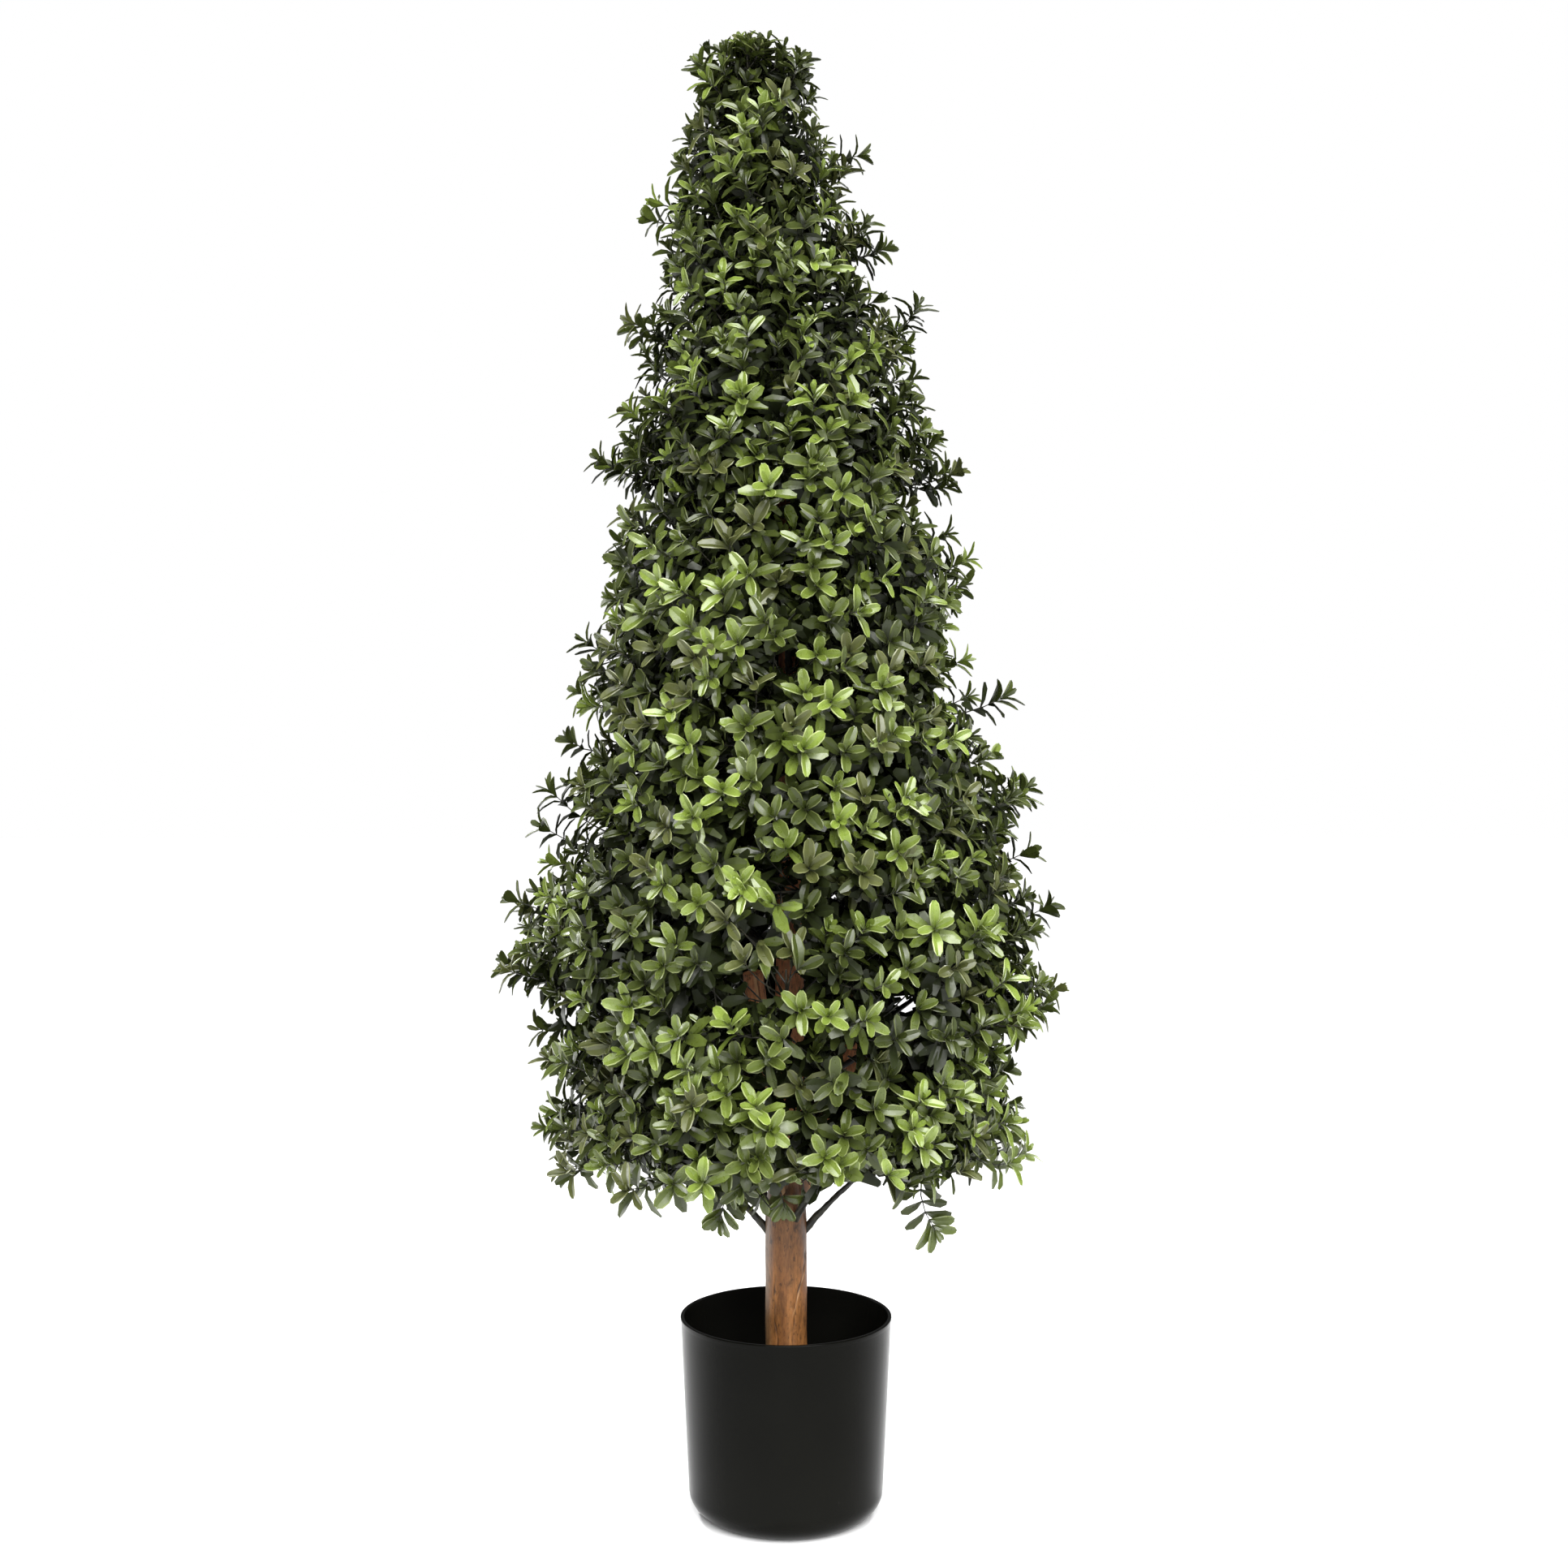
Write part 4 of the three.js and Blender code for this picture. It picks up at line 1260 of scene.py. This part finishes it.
def surface_twigs(mass, masses, twigs, foliage, wood, random):
    """The finer twigs and leaves that make the crown's surface."""
    places = list(outer_places(mass, random))
    if mass["top"]:
        places += cap_places(random)
    places += long_places(mass, masses)
    for place in places:
        tip = tip_of(place)
        nearest = min(twigs, key=lambda twig: distance(twig[-1], tip))
        path = clear_path(nearest, OUTER_FROM, place, random)
        wood.add(*fine_twig(path))
        size = between(NEAR_ONE, random) * fineness(place["z"]) ** 0.5
        spray = spray_of(random, place["shade"] + side_shade(place["azimuth"]))
        grow_sprig(foliage, path, random, spray, size=size, slim=place.get("slim", 0.0))


def underside_twigs(mass, masses, stem, foliage, wood, random):
    """The short twigs along the bough of a lowest mass, and those of its underside."""
    for place in low_places(mass, masses):
        path = twig_path(point_at(stem, between(LOW_FROM, random)), place)
        wood.add(*fine_twig(path))
        if place["lift"] < HANGING_LIFT:
            grow_sprig(foliage, path, random, HANGING_SPRAY, LOW_LEAFY, facing=TO_VIEWER)
        else:
            grow_sprig(foliage, path, random, LOW_SPRAY, LOW_LEAFY)
    for place in under_places(mass, random):
        path = twig_path(point_at(stem, between(UNDER_FROM, random)), place)
        wood.add(*fine_twig(path))
        grow_sprig(foliage, path, random, spray_of(random, place["shade"]), UNDER_LEAFY)


def grow_mass(mass, masses, foliage, wood):
    """Stem, twigs, finer twigs and leaves of one mass. Its place gives it a seed of its own."""
    stem = stem_path(mass)
    foot_radius = BOUGH_RADII[-1] if mass["tier"] == 0 else STEM_RADIUS
    wood.add(*tapered(stem[4:], 2, foot_radius, STEM_TIP_RADIUS, 6))
    random = random_from(5000 + int(1000 * mass["foot"]) + int(100 * (mass["azimuth"] + 7)))
    twigs = main_twigs(mass, stem, foliage, wood, random)
    surface_twigs(mass, masses, twigs, foliage, wood, random)
    if mass["tier"] == 0:
        underside_twigs(mass, masses, stem, foliage, wood, random)
    for place in inner_places(mass, random):
        path = clear_path(stem, INNER_FROM, place, random)
        wood.add(*fine_twig(path))
        # The inner leaves take the darkest tint, as painted shade inside the crown.
        grow_sprig(foliage, path, random, INNER_SPRAY, LONG_LEAFY, INNER_SIZE, INNER_DETAIL)


def crown_pieces(masses):
    """The leaves in pieces by tint, and the stems and twigs in one piece."""
    foliage = Foliage()
    wood = Bundle()
    for mass in masses:
        grow_mass(mass, masses, foliage, wood)
    names = [mass["name"] for mass in masses]
    for tint, (blade, rim, roughness, shine) in TINTS.items():
        # Each tint has a blade and a paler rim: partly the moulding's pale edge, partly a painted highlight
        # along it.
        looks = [
            leaf_material(f"leaf_{tint}", srgb(*blade), roughness, shine),
            leaf_material(f"leaf_rim_{tint}", srgb(*rim), roughness, shine),
        ]
        leaf_pieces(f"leaves_{tint}", foliage.mesh(tint), looks, names)
    make_piece("stems_and_twigs", *wood.joined(), [wire_material()], "coated_wire", names)


def leaf_pieces(name, mesh, looks, nodes):
    """Leaves of one tint in one or more pieces, split by height."""
    points, triangles, rims, heights, along = mesh
    parts = math.ceil(len(triangles) / LARGEST_PIECE)
    limits = np.quantile(heights, np.linspace(0, 1, parts + 1))
    limits[-1] += 1
    for part in range(parts):
        chosen = (heights >= limits[part]) & (heights < limits[part + 1])
        own, places = np.unique(triangles[chosen], return_inverse=True)
        label = name if parts == 1 else f"{name}_{part + 1}"
        make_piece(
            label, points[own], places.reshape(-1, 3), looks, "foliage", nodes,
            kinds=rims[chosen], values={"along": along[own]}, crease=LEAF_CREASE,
        )


# Materials.


def srgb(*values):
    """A linear colour from its usual 0 to 255 values of red, green and blue."""
    linear = (((c / 255 + 0.055) / 1.055) ** 2.4 if c > 10.3 else c / 255 / 12.92 for c in values)
    return (*linear, 1.0)


class Shader:
    """A material's node tree, with short calls for the nodes that are used here."""

    def __init__(self, name, color, roughness):
        self.material = bpy.data.materials.new(name)
        self.material.use_nodes = True
        self.tree = self.material.node_tree
        self.surface = self.tree.nodes["Principled BSDF"]
        self.surface.inputs["Base Color"].default_value = color
        self.surface.inputs["Roughness"].default_value = roughness
        self.place = self.tree.nodes.new("ShaderNodeTexCoord").outputs["Object"]

    def link(self, source, target):
        self.tree.links.new(source, target)

    def node(self, kind, inputs):
        """A new node. Each input is set to a number or a colour, or joined to a socket."""
        node = self.tree.nodes.new("ShaderNode" + kind)
        for name, value in inputs.items():
            if isinstance(value, (float, int, tuple)):
                node.inputs[name].default_value = value
            else:
                self.link(value, node.inputs[name])
        return node

    def stretched(self, scale):
        return self.node("Mapping", {"Scale": scale, "Vector": self.place}).outputs["Vector"]

    def noise(self, scale, detail=3.0, where=None, rough=0.5, distortion=0.0):
        inputs = {"Scale": scale, "Detail": detail, "Roughness": rough, "Distortion": distortion}
        inputs["Vector"] = self.place if where is None else where
        return self.node("TexNoise", inputs).outputs["Fac"]

    def ramp(self, value, stops):
        """Colours, or greys, over a value."""
        node = self.node("ValToRGB", {"Fac": value})
        elements = node.color_ramp.elements
        while len(elements) < len(stops):
            elements.new(0.5)
        for element, (position, color) in zip(elements, stops):
            element.position = position
            element.color = color if isinstance(color, tuple) else (color, color, color, 1)
        return node.outputs["Color"]

    def mix(self, factor, a, b, kind="MIX"):
        """A mix of two colours, each a socket or a colour. The factor is a socket or a number."""
        node = self.tree.nodes.new("ShaderNodeMix")
        node.data_type = "RGBA"
        node.blend_type = kind
        for value, socket in ((factor, node.inputs[0]), (a, node.inputs[6]), (b, node.inputs[7])):
            if isinstance(value, (float, int, tuple)):
                socket.default_value = value
            else:
                self.link(value, socket)
        return node.outputs[2]

    def times(self, color, value, stops, factor=1.0):
        """A colour multiplied by the greys over a value."""
        return self.mix(factor, color, self.ramp(value, stops), "MULTIPLY")

    def attribute(self, name):
        node = self.node("Attribute", {})
        node.attribute_name = name
        return node.outputs["Fac"]

    def axis(self, name):
        return self.node("SeparateXYZ", {"Vector": self.place}).outputs[name]

    def range(self, value, low, high, to_low=0.0, to_high=1.0):
        inputs = {"From Min": low, "From Max": high, "To Min": to_low, "To Max": to_high, "Value": value}
        return self.node("MapRange", inputs).outputs["Result"]

    def color(self, socket):
        self.link(socket, self.surface.inputs["Base Color"])

    def roughness(self, socket):
        self.link(socket, self.surface.inputs["Roughness"])

    def bump(self, value, strength, size):
        """A bump over the earlier ones."""
        node = self.node("Bump", {"Strength": strength, "Distance": size, "Height": value})
        normal = self.surface.inputs["Normal"]
        if normal.links:
            self.link(normal.links[0].from_socket, node.inputs["Normal"])
        self.link(node.outputs["Normal"], normal)


def leaf_material(name, color, roughness, shine):
    """Moulded plastic leaf: a plain colour, a little uneven, with a waxy gloss.

    Towards its base it has painted shade, and towards its tip a little painted light.
    """
    shader = Shader(name, color, roughness)
    shader.surface.inputs["Specular IOR Level"].default_value = shine
    blade = shader.times(color, shader.noise(70, 3), ((0.32, 0.74), (0.68, 1.20)))
    # Painted shade at the leaf's base and a little painted light near its tip, by how far along the leaf a
    # corner is.
    shader.color(shader.times(blade, shader.attribute("along"), ((0.0, 0.45), (0.45, 0.94), (0.9, 1.12))))
    shader.roughness(shader.range(shader.noise(300, 2), 0.3, 0.7, roughness - 0.06, roughness + 0.10))
    shader.bump(shader.noise(700, 2), 0.25, 0.0002)
    return shader.material


def wire_material():
    """Dark plastic coating with fine wrinkles."""
    shader = Shader("coated_wire_black", srgb(34, 34, 26), 0.55)
    patches = shader.noise(160, 3)
    colors = ((0.3, srgb(18, 17, 13)), (0.5, srgb(34, 34, 25)), (0.7, srgb(66, 62, 46)))
    shader.color(shader.ramp(patches, colors))
    shader.roughness(shader.range(patches, 0.3, 0.7, 0.42, 0.70))
    shader.bump(shader.noise(900, 3), 0.4, 0.0004)
    return shader.material


def wood_material():
    """Peeled pole wood: warm brown with upright grain, darker in specks, and painted shade in its cracks.

    It has a painted grey sheen on its left side and painted shade towards the crown.
    Inside the crown it is redder, and lighter as painted light against the crown's shade.
    """
    shader = Shader("peeled_wood", srgb(160, 108, 66), 0.5)
    grain = shader.noise(95, 8, shader.stretched((1, 1, 0.06)), 0.66, 0.5)
    mottle = shader.noise(75, 5, shader.stretched((1, 1, 0.38)), 0.62, 0.8)
    broad = shader.noise(16, 3, shader.stretched((1, 1, 0.3)))
    browns = ((0.28, srgb(96, 56, 26)), (0.5, srgb(142, 92, 47)), (0.75, srgb(168, 117, 65)))
    wood = shader.ramp(grain, browns)
    wood = shader.times(wood, mottle, ((0.34, 0.44), (0.48, 0.92), (0.72, 1.20)))
    wood = shader.times(wood, broad, ((0.32, 0.80), (0.66, 1.12)))
    # Painted highlight: the left side is mixed towards grey, as a sheen of the light on that side.
    painted_left_sheen = shader.range(shader.axis("X"), -0.0165, -0.0100, 0.62, 0.0)
    wood = shader.mix(painted_left_sheen, wood, srgb(112, 96, 72))
    # Painted shade: darker towards the crown, in its shadow, and a little lighter lower down.
    level = shader.range(shader.axis("Z"), 0.140, POLE_SHOWS)
    stops = ((0.06, 1.06), (0.22, 1.16), (0.34, 1.06), (0.46, 0.90), (0.60, 0.74), (0.85, 0.62))
    wood = shader.times(wood, level, stops)
    # Inside the crown: redder wood, and lighter as painted light against the crown's shade.
    inside = shader.range(shader.axis("Z"), POLE_SHOWS, 0.330)
    reds = ((0.3, srgb(176, 112, 74)), (0.6, srgb(214, 149, 104)), (0.85, srgb(232, 180, 132)))
    wood = shader.mix(inside, wood, shader.ramp(grain, reds))
    specks = shader.noise(360, 3, shader.stretched((1, 1, 0.45)), 0.6)
    wood = shader.times(wood, specks, ((0.32, 0.30), (0.42, 1.0)), 0.85)
    fibres = shader.noise(620, 3, shader.stretched((1, 1, 0.25)), 0.6)
    wood = shader.times(wood, fibres, ((0.34, 0.72), (0.62, 1.16)))
    wood = shader.mix(shader.attribute("pale"), wood, srgb(214, 170, 124))
    # Painted shade in the cracks and the limbs' splits, and the knot's own dark colour.
    wood = shader.mix(shader.attribute("crack_shade_and_knot"), wood, srgb(30, 17, 11))
    shader.color(wood)
    shader.roughness(shader.range(grain, 0.2, 0.8, 0.42, 0.66))
    shader.bump(grain, 0.45, 0.0006)
    shader.bump(shader.noise(500, 4, shader.stretched((1, 1, 0.08))), 0.35, 0.0004)
    return shader.material


def pot_material(name, light):
    """Black moulded plastic with a satin gloss, faint scuffs and dust. light is how light its black is."""
    shader = Shader(name, srgb(light, light, light - 2), 0.22)
    shader.surface.inputs["Specular IOR Level"].default_value = 0.065
    cloud = shader.noise(9, 4)
    scuffs = shader.noise(240, 6, shader.stretched((1, 1, 0.35)), 0.7)
    dust = shader.ramp(scuffs, ((0.72, 0.0), (0.80, 0.10)))
    dark, pale = srgb(light - 3, light - 3, light - 5), srgb(light + 2, light + 2, light - 1)
    base = shader.ramp(cloud, ((0.3, dark), (0.7, pale)))
    shader.color(shader.mix(dust, base, srgb(120, 120, 112)))
    shader.roughness(shader.range(scuffs, 0.3, 0.75, 0.15, 0.26))
    shader.bump(cloud, 0.12, 0.002)
    shader.bump(shader.noise(1400, 2), 0.06, 0.0002)
    return shader.material


def cement_material():
    """Rough grey cement with fine sand and darker damp patches."""
    shader = Shader("grey_cement", srgb(120, 117, 110), 0.92)
    sand = shader.noise(900, 4)
    patches = shader.noise(38, 4)
    greys = ((0.3, srgb(86, 84, 79)), (0.55, srgb(118, 115, 108)), (0.8, srgb(140, 137, 130)))
    shader.color(shader.times(shader.ramp(patches, greys), sand, ((0.3, 0.72), (0.7, 1.2)), 0.7))
    shader.bump(sand, 0.7, 0.0012)
    return shader.material


# Wood: the trunk and the sawn limbs.


def waves(random, turn, height, amplitude, counts, tall):
    """Smooth swells round and along a limb."""
    total = 0
    for count in counts:
        around = np.cos(count * turn + TURN * random())
        total = total + amplitude * around * np.cos(height * count / tall + TURN * random())
    return total


def line_on_trunk(line, rings, around, radii, width):
    """How strongly a thin line shows at each corner of the trunk, from 0 to 1."""
    heights, azimuths = zip(*line)
    middle = np.radians(np.interp(rings, heights, azimuths))[:, None]
    z = rings[:, None]
    start = azimuths[0]
    middle = middle + WAVER * (np.sin(260 * z + start) + 0.5 * np.sin(610 * z + 3 * start))
    off = np.abs(np.angle(np.exp(1j * (around - middle)))) * radii[:, None]
    uneven = 0.75 + 0.25 * np.sin(430 * z + 5 * start)
    ends = smooth(z, heights[0], heights[0] + 0.014) * (1 - smooth(z, heights[-1] - 0.012, heights[-1]))
    return np.exp(-((off / (width * uneven)) ** 2)) * ends * uneven


def trunk_rings():
    """Heights of the trunk's rings, close together where the pole shows."""
    foot = SOCKET_FLOOR + FIT_GAP
    return np.concatenate([
        np.linspace(foot, CEMENT_TOP, 4, endpoint=False),
        np.linspace(CEMENT_TOP, POLE_SHOWS, 150, endpoint=False),
        np.linspace(POLE_SHOWS, TRUNK_TOP, 34),
    ])


def trunk_piece(material):
    """The peeled trunk: shallow swells, and cracks that open along the grain."""
    rings = trunk_rings()
    path = np.array([trunk_middle(z) for z in rings])
    radii = np.array([trunk_radius(z) for z in rings])
    around = turns_of(TRUNK_SIDES)[None, :]
    z = rings[:, None]
    swell = waves(random_from(77), around, z, *TRUNK_SWELLS) - TRUNK_INWARDS
    swell[rings < CEMENT_TOP + SOCKET_MARGIN] = -SOCKET_INWARDS
    # The cracks get painted shade in their colour, and the knot its own dark colour.
    crack_shade_and_knot = np.zeros_like(swell)
    pale = np.zeros_like(swell)
    for line, width, strength in CRACKS:
        groove = strength * line_on_trunk(line, rings, around, radii, width)
        swell = swell - CRACK_DEPTH * groove
        crack_shade_and_knot = np.maximum(crack_shade_and_knot, CRACK_TINT * groove)
    for line in SCRATCHES:
        pale = np.maximum(pale, SCRATCH_TINT * line_on_trunk(line, rings, around, radii, SCRATCH_WIDTH))
    off = np.abs(np.angle(np.exp(1j * (around - math.radians(KNOT[1]))))) * radii[:, None]
    knot = np.exp(-((off / KNOT_SIZE[0]) ** 2) - ((z - KNOT[0]) / KNOT_SIZE[1]) ** 2)
    reach = radii[:, None] + swell - KNOT_DEPTH * knot
    points = np.stack([
        path[:, 0:1] + reach * np.cos(around),
        path[:, 1:2] + reach * np.sin(around),
        z + 0 * around,
    ], 2)
    make_piece(
        "peeled_trunk", points.reshape(-1, 3), ring_faces(len(rings), TRUNK_SIDES), [material], "wood",
        ["trunk"], values={"crack_shade_and_knot": np.maximum(crack_shade_and_knot, knot), "pale": pale},
    )


def limb_piece(limb, material):
    """A sawn limb with a flat top, a pale strip where its bark came off, and a split beside that."""
    path = limb_path(limb)
    around = turns_of(LIMB_SIDES)[None, :]
    along = np.linspace(0, 1, len(path))[:, None]
    relief = waves(random_from(90 + limb["azimuth"]), around, along, *LIMB_SWELLS) - LIMB_INWARDS
    drift = 0.10 * np.sin(9 * along)
    off = (around - SPLIT_TURN - drift) * limb["radius"]
    split = np.exp(-((off / SPLIT_WIDTH) ** 2)) * smooth(along, 0.2, 0.5)
    strip = 1 - smooth(np.abs(around - STRIP_TURN - drift), 0.7 * STRIP_HALF, STRIP_HALF)
    radii = np.linspace(limb["radius"], LIMB_TAPER * limb["radius"], len(path))
    points, triangles = tube(path, radii, LIMB_SIDES, relief - SPLIT_DEPTH * split)
    # The split gets painted shade in its colour, the strip its own pale colour.
    make_piece(
        "sawn_" + limb["name"], points, triangles, [material], "wood", [limb["name"]],
        values={"crack_shade_and_knot": 0.85 * split, "pale": 0.8 * strip}, crease=50,
    )


def bough_piece(mass, number, material):
    """A bough of coated wire, from the trunk to the foot of its mass."""
    stem = stem_path(mass)
    reach = np.hypot(stem[:, 0], stem[:, 1])
    last = int(np.argmax(reach > BOUGH_END))
    path = even(stem[: last + 1], 40)
    around = turns_of(WIRE_SIDES)[None, :]
    along = np.linspace(0, 1, len(path))[:, None]
    relief = waves(random_from(400 + number), around + 14 * along, along, *WIRE_SWELLS)
    radii = np.interp(along[:, 0], BOUGH_SHARES, BOUGH_RADII)
    points, triangles = tube(path, radii, WIRE_SIDES, relief)
    make_piece(f"wire_bough_{number}", points, triangles, [material], "coated_wire", [f"bough_{number}"])


# The pot and its cement.


def arc(middle, radius, start, end, steps):
    """Points on an arc, with its angles in degrees."""
    angles = np.radians(np.linspace(start, end, steps))
    return [(middle[0] + radius * math.cos(a), middle[1] + radius * math.sin(a)) for a in angles]


def pot_piece(outside, inside):
    """The pot as one thin shell: rounded foot, straight tapered wall and a small rolled lip."""
    corner = POT_FOOT_RADIUS - POT_CORNER
    wall = POT_RIM_RADIUS - POT_LIP
    lip_foot = POT_HEIGHT - POT_LIP_DEPTH
    round_lip = 0.0009
    inner = wall - POT_WALL
    inner_rise = POT_CORNER + POT_FLOOR - POT_WALL
    profile = [(0, 0), (corner * 0.5, 0)]
    profile += arc((corner, POT_CORNER), POT_CORNER, -90, 0, 18)
    steps = np.linspace(0, 1, 14)[1:]
    profile += [(lerp(POT_FOOT_RADIUS, wall, t), lerp(POT_CORNER, lip_foot, t)) for t in steps]
    profile += [(wall + 0.0001, lip_foot + 0.0006), (wall + 0.0004, lip_foot + 0.0018)]
    profile += [(POT_RIM_RADIUS - 0.0001, lip_foot + 0.0030)]
    profile += arc((POT_RIM_RADIUS - round_lip, POT_HEIGHT - round_lip), round_lip, 0, 90, 7)
    profile += arc((inner + 0.0006, POT_HEIGHT - 0.0006), 0.0006, 90, 180, 4)
    profile += [(lerp(inner, POT_FOOT_RADIUS - POT_WALL, t), lerp(lip_foot, inner_rise, t)) for t in steps]
    profile += arc((corner, inner_rise), POT_CORNER - POT_WALL, 0, -90, 12)
    profile += [(corner * 0.5, POT_FLOOR), (0, POT_FLOOR)]
    points, triangles = lathe(profile, POT_SEGMENTS)
    a, b, c = (points[triangles[:, i]] for i in range(3))
    inwards = (np.cross(b - a, c - a) * (a + b + c))[:, :2].sum(1) < 0
    # The inner faces take the inside material: the same black, painted lighter as painted light.
    make_piece("moulded_pot", points, triangles, [outside, inside], "pot_plastic", ["pot"], kinds=inwards)


def cement_piece(material):
    """The cement, with a trowelled and slightly rough top."""
    rise = (CEMENT_TOP - POT_CORNER) / (POT_HEIGHT - POT_LIP_DEPTH - POT_CORNER)
    low = POT_FOOT_RADIUS - POT_WALL - FIT_GAP
    high = lerp(POT_FOOT_RADIUS, POT_RIM_RADIUS - POT_LIP, rise) - POT_WALL - FIT_GAP
    floor = POT_FLOOR + FIT_GAP
    socket = POLE_RADIUS + FIT_GAP
    corner = POT_CORNER * 0.92
    flat = CEMENT_TOP - 0.0006
    profile = [(0, floor), (low - POT_CORNER, floor)]
    profile += arc((low - corner, floor + corner), corner, -90, 0, 8)
    foot = POT_CORNER + POT_FLOOR
    profile += [(lerp(low, high, t), lerp(foot, CEMENT_TOP - CEMENT_EDGE, t)) for t in (0.3, 1)]
    profile += [(lerp(high - CEMENT_EDGE, socket + 0.0004, t), flat) for t in np.linspace(0, 1, 30)]
    profile += [(socket, CEMENT_TOP - 0.003), (socket, SOCKET_FLOOR), (0, SOCKET_FLOOR)]
    random = random_from(31)
    terms = [(TURN * random(), 60 + 260 * random()) for _ in range(CEMENT_LUMPS)]

    def relief(radius, turn, height):
        """Low lumps on the flat top alone."""
        x = radius * np.cos(turn)
        y = radius * np.sin(turn)
        lumps = sum(np.sin(rate * (x * math.cos(way) + y * math.sin(way)) + 9 * way) for way, rate in terms)
        return np.where(height > CEMENT_TOP - 0.001, np.minimum(CEMENT_RELIEF * lumps, 0.0006), 0)

    points, triangles = lathe(profile, CEMENT_SEGMENTS, relief)
    make_piece("cement_fill", points, triangles, [material], "cement", ["ballast"])


# The studio: floor, light and camera.

FLOOR_HALF = 12.0
AMBIENT = 0.15
# The key light's direction from the plant, strength and width in degrees.
KEY_FROM = (0.19, -1.0, 0.80)
KEY_STRENGTH = 6.0
KEY_WIDTH = 54
# The low lights at both sides, somewhat behind: place, width and height, and power.
SIDE_LIGHTS = (
    ("side_left", (-1.35, 0.80, 0.30), (0.50, 0.55), 3.4),
    ("side_right", (1.35, 0.60, 0.30), (0.50, 0.55), 2.0),
    ("low_left", (-1.05, 0.22, 0.09), (0.46, 0.16), 2.3),
)
SIDE_AIM = (0.0, 0.0, 0.08)
# The lights from above on the floor behind: place, aim, width of the beam in degrees, and power.
FLOOR_LIGHTS = (
    ("floor_left", (-1.5, 1.5, 2.4), (-0.38, 0.55, 0.0), 44, 340),
    ("floor_right", (1.5, 1.5, 2.4), (0.38, 0.55, 0.0), 44, 165),
)


def aimed(name, data, place, aim):
    """A light object at a place that points at another."""
    lamp = add_object(name, data)
    lamp.location = place
    lamp.rotation_euler = (Vector(aim) - Vector(place)).to_track_quat("-Z", "Y").to_euler()


def floor():
    mesh = bpy.data.meshes.new("floor")
    h = FLOOR_HALF
    mesh.from_pydata([(-h, -h, 0), (h, -h, 0), (h, h, 0), (-h, h, 0)], [], [(0, 1, 2, 3)])
    shader = Shader("pale_floor", (0.9, 0.9, 0.9, 1), 0.8)
    shader.color(shader.ramp(shader.noise(3, 2), ((0.3, 0.89), (0.7, 0.93))))
    mesh.materials.append(shader.material)
    ground = add_object("floor", mesh)


def surroundings():
    """A white backdrop that lights the scene only weakly."""
    world = bpy.data.worlds.new("studio")
    world.use_nodes = True
    tree = world.node_tree
    background = tree.nodes["Background"]
    background.inputs["Color"].default_value = (1, 1, 1, 1)
    rays = tree.nodes.new("ShaderNodeLightPath")
    strength = tree.nodes.new("ShaderNodeMapRange")
    strength.inputs["To Min"].default_value = AMBIENT
    strength.inputs["To Max"].default_value = 1.0
    tree.links.new(rays.outputs["Is Camera Ray"], strength.inputs["Value"])
    tree.links.new(strength.outputs["Result"], background.inputs["Strength"])
    bpy.context.scene.world = world


def lights():
    """The key light, the low lights at the sides, and the lights on the floor behind."""
    key = bpy.data.lights.new("key", "SUN")
    key.energy = KEY_STRENGTH
    key.angle = math.radians(KEY_WIDTH)
    aimed("key", key, tuple(3 * np.array(KEY_FROM)), (0, 0, 0))
    for name, place, size, power in SIDE_LIGHTS:
        side = bpy.data.lights.new(name, "AREA")
        side.shape = "RECTANGLE"
        side.size, side.size_y = size
        side.energy = power
        aimed(name, side, place, SIDE_AIM)
    for name, place, aim, beam, power in FLOOR_LIGHTS:
        spot = bpy.data.lights.new(name, "SPOT")
        spot.energy = power
        spot.spot_size = math.radians(beam)
        spot.spot_blend = 1.0
        spot.shadow_soft_size = 0.25
        aimed(name, spot, place, aim)
    bpy.context.scene.view_settings.view_transform = "Standard"


def camera():
    data = bpy.data.cameras.new("camera")
    data.sensor_width = SENSOR_WIDTH
    data.lens = CAMERA_LENS
    data.clip_start = 0.05
    data.clip_end = 60.0
    seen = add_object("camera", data)
    seen.location = CAMERA_PLACE
    seen.rotation_euler = (math.radians(90 - CAMERA_PITCH), 0, math.radians(CAMERA_YAW))
    bpy.context.scene.camera = seen


camera()
floor()
surroundings()
lights()

wood_look = wood_material()
trunk_piece(wood_look)
for one in LIMBS:
    limb_piece(one, wood_look)
all_masses = list_masses()
bough_look = wire_material()
for order, lowest_mass in enumerate(mass for mass in all_masses if mass["tier"] == 0):
    bough_piece(lowest_mass, order + 1, bough_look)
crown_pieces(all_masses)
# The inside is the same black, painted a little lighter as painted light where little light reaches.
pot_piece(pot_material("black_pot_plastic", 13), pot_material("pot_inside_painted_lighter", 18))
cement_piece(cement_material())
